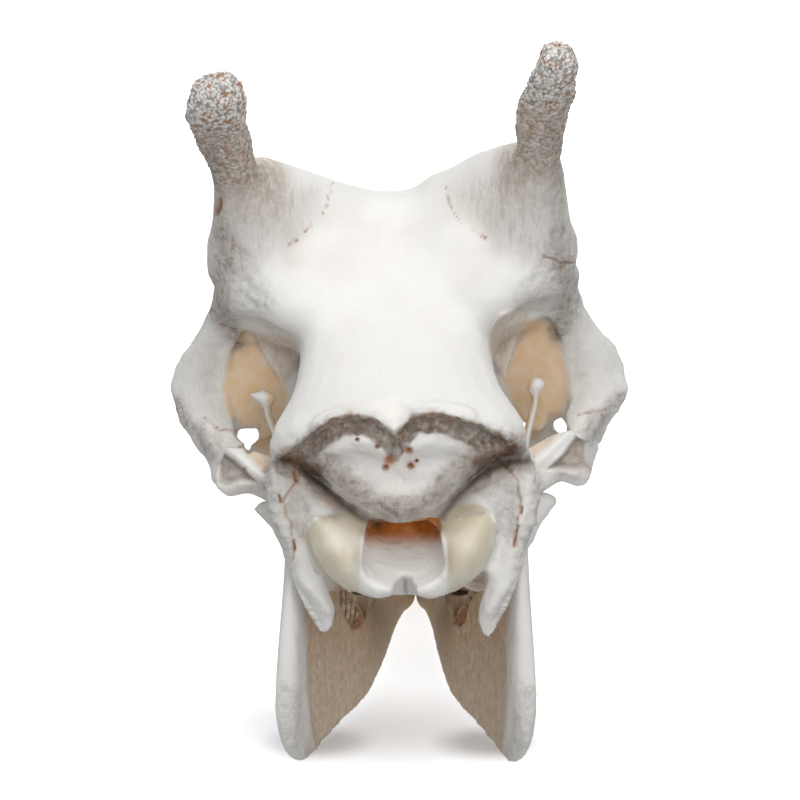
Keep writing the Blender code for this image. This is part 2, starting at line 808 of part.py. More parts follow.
def tooth_row(side, front, x_rear, x_front, width, root_depth, upward):
    """Row of cheek teeth; upward is 1 for the lower jaw and -1 for the upper."""
    rng = random.Random(TOOTH_SEED + side + 3 * upward)
    teeth = []
    y = front
    for index, length in enumerate(TOOTH_LENGTHS):
        y -= length / 2.0
        share = (front - y) / sum(TOOTH_LENGTHS)
        x = between(x_front, x_rear, share)
        crown = bite_level(y) - (BITE_GAP if upward > 0 else -BITE_GAP)
        wide = width * between(0.72, 1.0, share) * rng.uniform(0.96, 1.04)
        turn = side * (math.radians(4.0) + rng.uniform(-0.03, 0.03))
        crown += rng.uniform(0.0, 0.8) * -upward
        teeth.append(cheek_tooth(f"tooth_{index}", (side * x, y), crown - upward * root_depth,
                                 crown, length * 1.01, wide, turn))
        y -= length / 2.0
    return teeth


def incisor_teeth(side):
    """Spade-shaped front teeth that fan out from the tip of the jaw."""
    rng = random.Random(TOOTH_SEED + 7 * side)
    teeth = []
    for index in range(INCISORS):
        share = index / (INCISORS - 1)
        x = side * between(4.6, 27.5, share)
        out = side * math.radians(between(2.0, 34.0, share))
        y = between(566.0, 556.0, share * share)
        length = between(24.0, 17.0, share) * rng.uniform(0.97, 1.03)
        width = between(5.2, 4.4, share)
        run = Vector((math.sin(out), math.cos(out), 0.17))
        start = Vector((x, y, 37.0))
        rows = []
        for t, w, h in ((0.0, 0.6, 3.0), (0.35, 0.8, 3.4), (0.75, 1.15, 2.6), (1.0, 1.0, 1.2)):
            point = start + run * (length * t)
            rows.append((*point, width * w, h))
        teeth.append(limb(f"incisor_{index}", rows, (math.cos(out), -math.sin(out), 0.0), 2.2, 8, 1))
    return teeth


def jaw_body(side):
    """Half of the lower jaw, from its angle to its tip, as upright leaf-like sections.

    Each row is y, the middle of the lower and upper edges, the levels of both edges,
    and the half thickness near each edge.
    """
    rows = [
        (50.0, 69.0, 67.0, 29.0, 62.0, 5.0, 4.5),
        (54.0, 68.0, 66.0, 18.0, 92.0, 7.0, 5.5),
        (62.0, 66.0, 65.0, 7.5, 118.0, 8.0, 5.5),
        (74.0, 62.0, 66.0, 0.2, 134.0, 8.0, 5.0),
        (90.0, 57.5, 67.0, -3.4, 142.0, 6.5, 4.5),
        (110.0, 52.0, 66.0, -1.6, 143.0, 5.0, 4.0),
        (130.0, 45.0, 62.0, 1.0, 134.0, 4.0, 4.5),
        (150.0, 38.5, 54.0, 3.4, 110.0, 4.5, 6.0),
        (170.0, 32.5, 42.0, 4.8, 84.0, 5.5, 7.5),
        (190.0, 28.5, 33.5, 5.6, 62.0, 6.0, 9.0),
        (220.0, 25.5, 31.0, 6.2, 55.0, 6.5, 9.5),
        (270.0, 21.5, 29.5, 4.6, 48.0, 6.5, 9.5),
        (325.0, 18.0, 27.5, 3.4, 43.0, 6.5, 8.5),
        (350.0, 16.5, 24.0, 3.0, 39.0, 6.5, 6.5),
        (385.0, 14.0, 16.0, 2.4, 33.0, 6.5, 5.5),
        (418.0, 11.0, 11.5, 0.2, 28.0, 6.5, 5.5),
        (SYMPHYSIS_Y, 8.0, 8.5, -1.0, 27.0, 8.5, 8.0),
        (470.0, 8.0, 8.5, 3.0, 28.0, 9.5, 9.0),
        (505.0, 10.0, 10.5, 9.0, 33.0, 12.0, 12.0),
        (538.0, 14.0, 14.0, 19.0, 39.0, 17.0, 17.0),
        (560.0, 15.0, 15.0, 26.0, 42.0, 20.0, 20.0),
        (JAW_TIP_Y, 14.0, 14.0, 31.0, 42.0, 17.0, 17.0),
    ]
    rings = []
    for y, x_low, x_high, low, high, half_low, half_high in through(rows, 2):
        ring = []
        for across, rise in ring_steps(JAW_RING, 2.3):
            t = (rise + 1.0) / 2.0
            x = between(x_low, x_high, t) + between(half_low, half_high, t) * across
            ring.append((side * x, y, between(low, high, t)))
        rings.append(ring)
    return skin("jaw_body", rings)


def jaw_joint(side):
    x, y, z = JAW_CONDYLE
    neck = sided(
        side,
        (66.5, 94.0, 126.0, 6.0, 11.0),
        (70.0, 95.0, 138.0, 8.0, 9.0),
        (x - 2.0, y, z - 2.0, 11.0, 6.5),
    )
    return [
        limb("jaw_neck", neck, count=12, steps=3),
        blob("jaw_condyle", (side * x, y, z), (12.5, 7.0, 5.5), segments=16),
    ]


def coronoid(side):
    """Tall thin process that rises inside the cheek arch and ends in a small flared head."""
    x, y, z = CORONOID_TOP
    rows = sided(
        side,
        (62.0, 124.0, 122.0, 3.5, 17.0),
        (67.0, 131.0, 150.0, 2.6, 13.0),
        (73.0, 139.0, 178.0, 2.2, 8.0),
        (x - 1.0, y + 3.0, z - 14.0, 2.0, 6.0),
        (x, y, z, 2.6, 5.0),
    )
    return [
        limb("coronoid", rows, count=12, steps=3),
        blob("coronoid_head", (side * x, y, z - 2.0), (6.4, 5.6, 4.4), (side * 0.9, 0.0, 0.2), 12),
    ]


def build_jaw(side, name):
    pieces = jaw_joint(side) + coronoid(side)
    jaw = combine(jaw_body(side), pieces, "UNION")
    lean(jaw)
    inner = PART_GAP / 2.0
    across = sorted((side * inner, side * -60.0))
    teeth = tooth_row(side, LOWER_ROW_FRONT, 31.0, 27.5, 15.0, 24.0, 1) + incisor_teeth(side)
    combine(jaw, teeth, "UNION")
    under = box("under", (-150.0, -20.0, -30.0), (150.0, 640.0, 0.0))
    middle = box("middle", (across[0], 380.0, -40.0), (across[1], 640.0, 90.0))
    combine(jaw, [under, middle], "DIFFERENCE")
    keep_largest(jaw)
    jaw.name = name
    return jaw


def bone(name, colour, roughness):
    material = bpy.data.materials.new(name)
    material.use_nodes = True
    shader = material.node_tree.nodes["Principled BSDF"]
    shader.inputs["Base Color"].default_value = (*colour, 1.0)
    shader.inputs["Roughness"].default_value = roughness
    shader.inputs["Metallic"].default_value = 0.0
    return material


def stand_at_origin(nodes):
    """Moves the skull so that it stands on z = 0, centred over the origin."""
    corners = [vert.co for node in nodes for vert in node.data.vertices]
    low = Vector([min(co[i] for co in corners) for i in range(3)])
    high = Vector([max(co[i] for co in corners) for i in range(3)])
    shift = Vector((-(low.x + high.x) / 2.0, -(low.y + high.y) / 2.0, 0.0))
    for node in nodes:
        node.data.transform(Matrix.Translation(shift))


def main():
    for obj in list(bpy.data.objects):
        bpy.data.objects.remove(obj)

    cranium = build_cranium()
    nodes = []
    for side, word in ((1, "right"), (-1, "left")):
        centre = side * 89.0 + LEAN_X
        rise = LEAN_ROLL * side * 89.0
        low = (centre - 32.0, -20.0, OSSICONE_CUT_Z + rise)
        high = (centre + 32.0, 116.0, 430.0)
        nodes.append(part_off(cranium, f"ossicone_{word}", partial(grown_box, low, high)))
        low = (side * 111.0 - 12.0, 104.0, 150.0)
        high = (side * 111.0 + 12.0, 146.0, 202.0)
        turn = Matrix.Rotation(-side * ARCH_YAW, 3, "Z")
        nodes.append(part_off(cranium, f"cheek_arch_{word}", partial(grown_box, low, high, turn=turn)))
    face = part_off(cranium, "face", face_shape)
    teeth = tooth_row(1, UPPER_ROW_FRONT, 37.5, 33.0, 21.0, 24.0, -1)
    teeth += tooth_row(-1, UPPER_ROW_FRONT, 37.5, 33.0, 21.0, 24.0, -1)
    combine(face, teeth, "UNION")
    keep_largest(face)
    cranium.name = "braincase"
    nodes += [cranium, face, build_jaw(1, "mandible_right"), build_jaw(-1, "mandible_left")]

    group = bpy.data.collections.new("giraffe_skull")
    bpy.context.scene.collection.children.link(group)
    ivory = bone("bone", (0.80, 0.77, 0.70), 0.55)
    rough = bone("ossicone_bone", (0.70, 0.66, 0.60), 0.75)
    for node in nodes:
        bpy.context.scene.collection.objects.unlink(node)
        group.objects.link(node)
        node.data.materials.clear()
        node.data.materials.append(rough if node.name.startswith("ossicone") else ivory)
    stand_at_origin(nodes)


main()
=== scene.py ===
"""Giraffe skull at life size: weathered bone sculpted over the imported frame, teeth, floor and light.

Places are in millimetres of the skull's own frame: x = 0 is the jaw's middle and +X the animal's
right, y = 0 is the rear of the occipital condyles and the snout points along +Y, z = 0 is the
floor. Places on the upper skull are given before it leans on its jaw, see lean().

Relief that shows from behind is placed in the rear view: the camera's picture as a grid of 800
cells a side, u to the right and v down, see rear_view().
"""

import math
import random
from functools import partial
from itertools import combinations

import bmesh
import bpy
import numpy as np
from bpy.props import FloatProperty, FloatVectorProperty, IntProperty, PointerProperty
from mathutils import Matrix, Vector, noise


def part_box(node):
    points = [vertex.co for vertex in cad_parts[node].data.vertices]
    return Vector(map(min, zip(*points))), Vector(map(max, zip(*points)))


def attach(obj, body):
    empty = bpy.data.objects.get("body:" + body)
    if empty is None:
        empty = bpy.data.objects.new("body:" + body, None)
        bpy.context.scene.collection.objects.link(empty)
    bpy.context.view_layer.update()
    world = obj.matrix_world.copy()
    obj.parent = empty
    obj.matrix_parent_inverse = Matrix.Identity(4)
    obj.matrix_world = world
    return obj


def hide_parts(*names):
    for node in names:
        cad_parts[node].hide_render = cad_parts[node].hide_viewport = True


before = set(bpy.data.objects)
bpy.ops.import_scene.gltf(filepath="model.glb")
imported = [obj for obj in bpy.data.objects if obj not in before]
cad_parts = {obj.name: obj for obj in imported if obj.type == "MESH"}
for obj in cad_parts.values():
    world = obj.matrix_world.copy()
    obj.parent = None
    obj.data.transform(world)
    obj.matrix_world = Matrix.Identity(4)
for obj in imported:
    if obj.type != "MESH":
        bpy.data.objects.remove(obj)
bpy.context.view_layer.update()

bl_info = {
    "name": "Giraffe skull",
    "version": (1, 0, 0),
    "blender": (4, 5, 0),
    "location": "3D View > Sidebar > Skull",
    "description": "Sculpted bone, teeth and stage of a giraffe skull over its packed frame",
    "category": "Object",
}

MM = 0.001

# Origin of the skull's own frame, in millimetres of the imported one
SNOUT_TIP = 606.0
JAW_GAP = 0.15
ORIGIN = np.array((
    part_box("mandible_right")[0].x / MM - JAW_GAP,
    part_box("face")[1].y / MM - SNOUT_TIP,
    0.0,
))

# Lean of the upper skull over the jaw, and the heights that it grows between
LEAN_X = -9.0
LEAN_LEVELS = (110.0, 290.0)
LEAN_ROLL = 0.052
ROLL_LEVELS = (90.0, 190.0)
TIP_ROLL = 0.035
TIP_LEVELS = (300.0, 395.0)

# Where the camera stands, how it is turned, and its focal length in cells of the rear view
CAMERA_AT = (23.04, -1199.78, 419.5)
CAMERA_YAW = math.radians(1.1)
CAMERA_DIP = math.radians(9.24)
CAMERA_FOCUS = 2302.0
CAMERA_SHIFT = -0.005
VIEW_CELLS = 800.0

# Where the cranium is parted
FACE_CUT_Y = 264.0
TOOTH_CUT_Y = 187.0
TOOTH_CUT_Z = 119.0
TOOTH_HALF = 70.0
REAR_CUT_Y = 82.0
FRONTAL_CUT_Y = 165.0
OSSICONE_X = 89.0
OSSICONE_HALF = 32.0
OSSICONE_CUT_Z = 352.0
OSSICONE_REACH_Y = 116.0
ARCH_CENTRE = (111.0, 125.0, 176.0)
ARCH_HALF = (12.0, 21.0, 26.0)
ARCH_YAW = math.radians(18.0)
CUT_REACH = 6.0
BOX_REACH = 8.0
ON_PLANE = 2e-6

CRANIUM = ("braincase", "face", "ossicone_left", "ossicone_right", "cheek_arch_left",
           "cheek_arch_right")
BRAINCASE_PIECES = ("occiput", "vault", "frontal")
# Paints laid on the skin. deep, hollow and dark are painted shade; grey and brown are partly real tone
# and dirt, partly painted shade; tan and amber are partly real colour, partly painted glow of light
# through thin bone.
PAINTS = ("hollow", "deep", "brown", "amber", "rough", "granular", "stain", "ivory", "tan", "grey",
          "suture", "striated", "dark")

# Shares below which a point isn't moved, and isn't given noise
STILL = 0.002
BARE = 0.004

# Seed of the slow noise that bends what is traced
DRIFT_SEED = 7

# How deep, in millimetres, relief of the rear face, its pockets and the rest of it reaches
REAR_DEPTH = 60.0
POCKET_DEPTH = 80.0
WHOLE_DEPTH = 95.0

# Cheek teeth: three premolars and three molars a row, lengths from front to back
TOOTH_LENGTHS = (19.0, 20.0, 21.0, 25.0, 28.0, 29.0)

# Front end of each row, its distance from the middle behind and in front, the width and depth of
# its teeth, and which way they grow
TOOTH_ROWS = (
    ("upper", 346.0, 36.0, 31.5, 20.0, 17.0, -1),
    ("lower", 342.0, 31.0, 27.5, 15.6, 15.0, 1),
)
BITE_REAR_Y = 195.0
BITE_REAR = 71.0
BITE_SLOPE = 0.088
TOOTH_SIDES = 40
TOOTH_LEVELS = (0.0, 0.15, 0.4, 0.65, 0.85, 0.96, 1.0)
TOOTH_SWELLS = (0.70, 0.86, 0.97, 1.0, 0.98, 0.90, 0.72)
CROWN_SUNK = 1.4


# Settings


class BoneSettings(bpy.types.PropertyGroup):
    """Colours of the bone, and of the shade and glow that are painted into it."""

    pale: FloatVectorProperty(
        name="Bone", description="Clean bone on the roof and the jaws",
        subtype="COLOR", size=3, min=0.0, max=1.0, default=(0.87, 0.86, 0.835))
    # Painted shade: colour mixed into hollows, creases, recesses and under overhangs, where shade falls;
    # also the grey tone of worn bone.
    shade: FloatVectorProperty(
        name="Hollows", description="Lilac grey that the bone has in its hollows",
        subtype="COLOR", size=3, min=0.0, max=1.0, default=(0.57, 0.505, 0.455))
    ivory: FloatVectorProperty(
        name="Condyles", description="Yellowish polish of the joint surfaces",
        subtype="COLOR", size=3, min=0.0, max=1.0, default=(0.64, 0.57, 0.42))
    # Partly painted glow: besides their real tan, the thin plates are made bright to stand for light
    # shining through them.
    tan: FloatVectorProperty(
        name="Thin plates", description="Tan of the thin plates behind the eyes and of the jaw's inside",
        subtype="COLOR", size=3, min=0.0, max=1.0, default=(0.84, 0.58, 0.33))
    # Old dirt, and also painted shade: the brown paint in this colour darkens the overhang under the
    # nuchal crest, the pockets beside the V and the arch hollows.
    dirt: FloatVectorProperty(
        name="Old dirt", description="Brown that clings under the nuchal crest and in crusts",
        subtype="COLOR", size=3, min=0.0, max=1.0, default=(0.36, 0.25, 0.15))
    # Painted shade with dirt: the grain's low places, between granules, wrinkles and streaks, are
    # darkened to this colour, and the dark paint takes half of it.
    gap: FloatVectorProperty(
        name="Gaps", description="Dark of the gaps between granules and streaks",
        subtype="COLOR", size=3, min=0.0, max=1.0, default=(0.15, 0.105, 0.07))
    # Partly painted glow: the orange stands for light shining through the thin braincase roof.
    amber: FloatVectorProperty(
        name="Amber", description="Orange of the braincase roof inside the foramen magnum",
        subtype="COLOR", size=3, min=0.0, max=1.0, default=(0.46, 0.14, 0.008))
    stain: FloatVectorProperty(
        name="Stains", description="Orange brown in pits, slits and foramina",
        subtype="COLOR", size=3, min=0.0, max=1.0, default=(0.40, 0.15, 0.035))


class ReliefSettings(bpy.types.PropertyGroup):
    """Sizes of the relief that is worked into the bone."""

    step: FloatProperty(
        name="Face size", description="Edge length of the bone's faces, in millimetres",
        min=1.2, max=4.0, default=1.9)
    granule: FloatProperty(
        name="Granules", description="Width of the granules on the ossicones, in millimetres",
        min=1.0, max=6.0, default=2.6)
    granule_height: FloatProperty(
        name="Granule height",
        description="Height of the granules at the ossicones' tips, in millimetres",
        min=0.0, max=2.0, default=0.75)
    crust: FloatProperty(
        name="Crest crust", description="Height of the crust along the nuchal crest, in millimetres",
        min=0.0, max=3.0, default=0.9)


class ToothSettings(bpy.types.PropertyGroup):
    """Sizes of the cheek teeth."""

    ribs: IntProperty(
        name="Ribs", description="Vertical ribs on each side of a cheek tooth", min=2, max=6, default=3)
    enamel: FloatVectorProperty(
        name="Enamel", description="Stained ivory of the enamel",
        subtype="COLOR", size=3, min=0.0, max=1.0, default=(0.62, 0.50, 0.34))


class StageSettings(bpy.types.PropertyGroup):
    """Floor, light and camera."""

    floor: FloatVectorProperty(
        name="Floor", description="Colour of the floor",
        subtype="COLOR", size=3, min=0.0, max=1.0, default=(0.90, 0.915, 0.94))
    key: FloatProperty(
        name="Key light", description="Power of the large light overhead", subtype="POWER",
        min=0.0, max=500.0, default=20.4)
    fill: FloatProperty(
        name="Fill light", description="Strength of the light from all round", min=0.0, max=3.0,
        default=0.34)
    glow: FloatProperty(
        name="Floor glow", description="Light that the floor gives off away from the skull",
        min=0.0, max=2.0, default=0.62)
    lens: FloatProperty(
        name="Lens", description="Focal length of the camera, in millimetres", min=20.0, max=300.0,
        default=103.59)


# Shapes


def ease(value, low, high):
    t = np.clip((value - low) / (high - low), 0.0, 1.0)
    return t * t * (3.0 - 2.0 * t)


def to_skull(points):
    """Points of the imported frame, in metres, in the skull's own frame."""
    return points / MM - ORIGIN


def to_frame(points):
    return (points + ORIGIN) * MM


def roll(z):
    return LEAN_ROLL * ease(z, *ROLL_LEVELS) + TIP_ROLL * ease(z, *TIP_LEVELS)


def lean(points):
    """Carries places a little to the left and rolls the right side up, as the upper skull lies."""
    x, y, z = points.T
    return np.stack((x + LEAN_X * ease(z, *LEAN_LEVELS), y, z + x * roll(z)), 1)


def unlean(points):
    """The places that lean() would carry to these points."""
    x, y, z = points.T
    plain_x = x
    plain_z = z
    for _ in range(4):
        plain_x = x - LEAN_X * ease(plain_z, *LEAN_LEVELS)
        plain_z = z - plain_x * roll(plain_z)
    return np.stack((plain_x, y, plain_z), 1)


def rear_view(points):
    """Cells of the rear view, u and v, that points of the skull's frame show at."""
    away = points - np.array(CAMERA_AT)
    sin_yaw, cos_yaw = math.sin(CAMERA_YAW), math.cos(CAMERA_YAW)
    sin_dip, cos_dip = math.sin(CAMERA_DIP), math.cos(CAMERA_DIP)
    right = away @ np.array((cos_yaw, sin_yaw, 0.0))
    ahead = away @ np.array((-sin_yaw * cos_dip, cos_yaw * cos_dip, -sin_dip))
    up = away @ np.array((-sin_yaw * sin_dip, cos_yaw * sin_dip, cos_dip))
    middle = VIEW_CELLS / 2.0
    return np.stack((middle - CAMERA_SHIFT * VIEW_CELLS + CAMERA_FOCUS * right / ahead,
                     middle - CAMERA_FOCUS * up / ahead), 1)


def new_object(name, model):
    mesh = bpy.data.meshes.new(name)
    model.to_mesh(mesh)
    model.free()
    obj = bpy.data.objects.new(name, mesh)
    bpy.context.scene.collection.objects.link(obj)
    return obj


def read_points(mesh):
    points = np.empty(len(mesh.vertices) * 3)
    mesh.vertices.foreach_get("co", points)
    return points.reshape(-1, 3)


def write_points(mesh, points):
    mesh.vertices.foreach_set("co", points.ravel())
    mesh.update()


def read_normals(mesh):
    normals = np.empty(len(mesh.vertices) * 3)
    mesh.vertices.foreach_get("normal", normals)
    return normals.reshape(-1, 3)


def read_edges(mesh):
    edges = np.empty(len(mesh.edges) * 2, np.int32)
    mesh.edges.foreach_get("vertices", edges)
    return edges.reshape(-1, 2)


def mean_of_neighbours(values, edges):
    """For each point, the mean of the values at the points that an edge joins it to."""
    i, j = edges.T
    count = len(values)
    degree = np.maximum(np.bincount(i, minlength=count) + np.bincount(j, minlength=count), 1)
    columns = values.reshape(count, -1).T
    sums = [np.bincount(i, c[j], count) + np.bincount(j, c[i], count) for c in columns]
    return (np.stack(sums, 1) / degree[:, None]).reshape(values.shape)


def local_net(edges, share):
    """Points that a share moves with their neighbours, and the edges between them."""
    moved = share > STILL
    edges = edges[moved[edges[:, 0]] | moved[edges[:, 1]]]
    chosen, flat = np.unique(edges, return_inverse=True)
    return chosen, flat.reshape(-1, 2)


def relaxed(points, edges, share, rounds, steps):
    """Points drawn towards their neighbours, or away where a step is negative, as far as shared."""
    chosen, net = local_net(edges, share)
    part = points[chosen]
    weight = np.where(share[chosen] > STILL, share[chosen], 0.0)[:, None]
    for _ in range(rounds):
        for step in steps:
            part += step * weight * (mean_of_neighbours(part, net) - part)
    points = points.copy()
    points[chosen] = part
    return points


def run_distances(points, path, ends):
    """Distance of every point from the nearest of the straight runs from the path to the ends."""
    best = np.full(len(points), np.inf)
    for start, end in zip(path, ends):
        run = end - start
        t = np.clip((points - start) @ run / max(run @ run, 1e-9), 0.0, 1.0)
        best = np.minimum(best, np.linalg.norm(points - start - t[:, None] * run, axis=1))
    return best


def blur(values, edges, passes):
    for _ in range(passes):
        values = 0.5 * (values + mean_of_neighbours(values, edges))
    return values


def merged_copy(name, nodes, grow):
    """Closed copy of CAD nodes whose loose triangles are welded, grown to meet its neighbours."""
    model = bmesh.new()
    for node in nodes:
        model.from_mesh(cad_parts[node].data)
    bmesh.ops.remove_doubles(model, verts=model.verts, dist=1e-5)
    bmesh.ops.recalc_face_normals(model, faces=model.faces)
    for vert in model.verts:
        vert.co += vert.normal * grow * MM
    return new_object(name, model)


def remeshed(obj, step):
    """One closed skin of even faces over the object's solids."""
    even = obj.modifiers.new("even", "REMESH")
    even.mode = "VOXEL"
    even.voxel_size = step * MM
    shown = obj.evaluated_get(bpy.context.evaluated_depsgraph_get())
    mesh = bpy.data.meshes.new_from_object(shown)
    old = obj.data
    obj.modifiers.clear()
    obj.data = mesh
    bpy.data.meshes.remove(old)
    return obj


def refine(obj, wanted):
    """Cuts in four every face whose corners are all wanted."""
    model = bmesh.new()
    model.from_mesh(obj.data)
    model.verts.ensure_lookup_table()
    edges = [e for e in model.edges if wanted[e.verts[0].index] and wanted[e.verts[1].index]]
    bmesh.ops.subdivide_edges(model, edges=edges, cuts=1, use_grid_fill=True)
    bmesh.ops.triangulate(model, faces=[f for f in model.faces if len(f.verts) > 4])
    model.to_mesh(obj.data)
    model.free()


class Sculpt:
    """Mesh of an object as arrays, in the skull's own frame, with what has been painted on it."""

    def __init__(self, obj, leans=True):
        self.obj = obj
        self.leans = leans
        points = to_skull(read_points(obj.data))
        self.at = unlean(points) if leans else points
        self.edges = read_edges(obj.data)
        self.paint = {}
        self.bends = None
        self.renew()

    def renew(self):
        """Writes the points back, and reads the normals again."""
        points = lean(self.at) if self.leans else self.at
        write_points(self.obj.data, to_frame(points))
        self.normal = read_normals(self.obj.data)
        self.view = rear_view(points)
        to_camera = np.array(CAMERA_AT) - points
        to_camera /= np.linalg.norm(to_camera, axis=1)[:, None]
        self.seen = ease(np.einsum("ij,ij->i", to_camera, self.normal), -0.12, 0.16)

    def near(self, place, radius):
        """1 at the place, and 0 from about twice the radius on."""
        distances = np.linalg.norm(self.at - np.array(place, float).reshape(3), axis=1)
        return np.exp(-((distances / radius) ** 2))

    def drift(self):
        """Slow noise that bends what is traced, in cells of the rear view."""
        if self.bends is None:
            noise.seed_set(DRIFT_SEED)
            self.bends = np.array([noise.noise_vector(Vector(p))[:2] for p in self.at / 7.0])
        return self.bends

    def through(self, path, radius, sway=0.0):
        """near() for a path in the rear view, in cells, through the whole depth."""
        flat = np.array(path, float).reshape(-1, 2)
        spots = self.view + sway * self.drift() if sway else self.view
        distances = run_distances(spots, flat, flat[1:] if len(flat) > 1 else flat)
        return np.exp(-((distances / radius) ** 2))

    def traced(self, path, radius, deepest=WHOLE_DEPTH, sway=0.0):
        """through() on what faces the camera and lies less deep than a level."""
        return self.through(path, radius, sway) * self.seen * (self.at[:, 1] < deepest)

    def inside(self, outline, soft, deepest=WHOLE_DEPTH):
        """1 well within an outline in the rear view and 0 outside it, on what faces the camera."""
        flat = np.array(outline, float)
        ends = np.roll(flat, -1, axis=0)
        within = np.zeros(len(self.view), bool)
        u, v = self.view.T
        for (a_u, a_v), (b_u, b_v) in zip(flat, ends):
            if a_v != b_v:
                crossing = (b_u - a_u) * (v - a_v) / (b_v - a_v) + a_u
                within ^= ((a_v > v) != (b_v > v)) & (u < crossing)
        distances = run_distances(self.view, flat, ends)
        reach = np.where(within, distances, -distances)
        return ease(reach, -0.3 * soft, soft) * self.seen * (self.at[:, 1] < deepest)

    def soften(self, share, passes):
        """Rounds edges and fills corners where a share is given."""
        self.at = relaxed(self.at, self.edges, share, passes, (0.5,))

    def fair(self, pairs, share):
        """Evens the surface and keeps its volume: each pass in is followed by a pass out."""
        self.at = relaxed(self.at, self.edges, share, pairs, (0.5, -0.52))

    def facing(self, direction, soft=0.25):
        """Share of each point that faces a direction."""
        direction = np.array(direction, float) / np.linalg.norm(direction)
        return ease(self.normal @ direction, 0.0, soft)

    def move(self, amount, along=None):
        """Moves the points along their normals, or along one direction, by an amount each."""
        way = self.normal if along is None else np.array(along, float)[None, :]
        self.at = self.at + amount[:, None] * way

    def grain(self, where, size, stretch=(1.0, 1.0, 1.0), seed=0.0):
        """Smooth noise in -1..1 at the points where a share is given, and 0 elsewhere."""
        values = np.zeros(len(self.at))
        scale = np.array(stretch) / size
        for k in np.flatnonzero(where > BARE):
            values[k] = noise.noise(Vector(self.at[k] * scale + seed))
        return values

    def granules(self, where, size, seed=0.0):
        """Rounded grains of a size: 1 at their middles and 0 in the joints between them."""
        values = np.zeros(len(self.at))
        for k in np.flatnonzero(where > BARE):
            gaps, _ = noise.voronoi(Vector(self.at[k] / size + seed))
            values[k] = min(1.0, 1.6 * (gaps[1] - gaps[0]))
        return values

    def roughen(self, area, *layers):
        """Raises an area by layers of noise, each with its height, size and seed."""
        heights = [height * self.grain(area, size, seed=seed) for height, size, seed in layers]
        self.move(area * sum(heights))

    def stroke(self, name, amount):
        """Adds paint of a name, at most 1."""
        self.paint[name] = np.clip(self.paint.get(name, 0.0) + amount, 0.0, 1.0)

    def strokes(self, area, **shares):
        """Adds several paints on one area."""
        for name, share in shares.items():
            self.stroke(name, share * area)

    def hollows(self, passes, depth):
        """1 on points a depth under the surface round them, 0.5 on it and 0 as far above it."""
        wide = blur(self.at, self.edges, passes)
        sunk = np.einsum("ij,ij->i", wide - self.at, self.normal)
        return np.clip(sunk / depth, -1.0, 1.0) * 0.5 + 0.5

    def finish(self):
        self.renew()
        for name, values in self.paint.items():
            layer = self.obj.data.attributes.new(name, "FLOAT", "POINT")
            layer.data.foreach_set("value", np.asarray(values, np.float32))


# Relief of the cranium


def broad_share(at):
    """Share of wide smoothing: full on the vault, brow and upper face, little on what is thin."""
    x, y, z = at.T
    off_crest = ease(y, 28.0, 60.0)
    inwards = np.maximum(ease(-np.abs(x), -66.0, -56.0), ease(y, 258.0, 276.0))
    off_arches = np.maximum(ease(z, 246.0, 268.0), inwards)
    off_shafts = 1.0 - ease(z, 336.0, 352.0) * ease(np.abs(x), 60.0, 72.0)
    return 0.25 + 0.75 * off_crest * off_arches * off_shafts


BACK = (0.0, -1.0, 0.0)
INWARD = (0.0, 1.0, 0.0)
UP = (0.0, 0.0, 1.0)
CREST_RIM = (
    (275, 459), (284, 452), (296, 444), (306, 435), (316, 427), (331, 418), (345, 413), (358, 413),
    (374, 417), (386, 425), (394, 434), (405, 422), (414, 413), (436, 411), (459, 417), (480, 423),
    (501, 433), (522, 446))
CREST_LOWER = (
    (282, 464), (298, 463), (316, 458), (330, 446), (346, 436), (362, 436), (378, 445), (390, 458),
    (398, 462), (406, 450), (420, 434), (440, 434), (462, 443), (486, 453), (504, 456), (518, 454))
CREST_STAINS = (
    (283, 449), (333, 423), (350, 415), (411, 421), (431, 413), (452, 422), (498, 436), (512, 446))
V_LEFT = ((310, 459), (326, 473), (345, 491), (364, 506), (384, 514), (400, 518))
V_RIGHT = ((521, 450), (492, 455), (472, 467), (450, 488), (436, 506), (417, 515), (400, 518))


def shifted(path, right, down):
    return [(u + right, v + down) for u, v in path]


def sculpt_crest(skin, relief):
    """Thin overhanging rim of the nuchal crest, with the striated hollow under it."""
    rim = skin.traced(CREST_RIM, 5.0, REAR_DEPTH)
    under = skin.traced(shifted(CREST_RIM[1:-1], 0, 13), 8.5, REAR_DEPTH)
    skin.move(under * 9.5, INWARD)
    for wing in (CREST_RIM[2:7], CREST_RIM[12:17]):
        skin.move(skin.traced(shifted(wing, 0, 23), 8.0, REAR_DEPTH) * 4.0, INWARD)
    skin.move(rim * 3.0, BACK)
    skin.renew()
    skin.fair(3, np.maximum(rim, under))
    skin.renew()
    on_rim = skin.traced(CREST_RIM, 4.0, REAR_DEPTH, 2.0)
    lumps = 1.4 * skin.grain(on_rim, 5.0, seed=3.0) + 0.4 * skin.grain(on_rim, 3.0, seed=9.0)
    skin.move(on_rim * relief.crust * lumps)
    below = skin.inside(CREST_RIM + tuple(reversed(CREST_LOWER)), 3.0, REAR_DEPTH)
    streaks = skin.grain(below, 3.0, (1.0, 0.3, 0.3), 4.0)
    skin.move(below * (1.2 * streaks + 1.8 * skin.grain(below, 6.0, seed=6.0)))
    skin.stroke("rough", np.maximum(0.5 * on_rim, below))
    # Painted shade with dirt: grey and brown under the overhanging rim and on its lower lip stand for
    # the shade that it casts
    skin.strokes(below, striated=1.0, grey=0.85)
    lower_lip = skin.traced(shifted(CREST_RIM, 0, 5), 4.0, REAR_DEPTH)
    skin.stroke("brown", 0.85 * below + 0.4 * lower_lip)
    for spot in CREST_STAINS:
        skin.stroke("stain", 0.55 * skin.traced([spot], 3.6, REAR_DEPTH, 3.0))
    skin.renew()


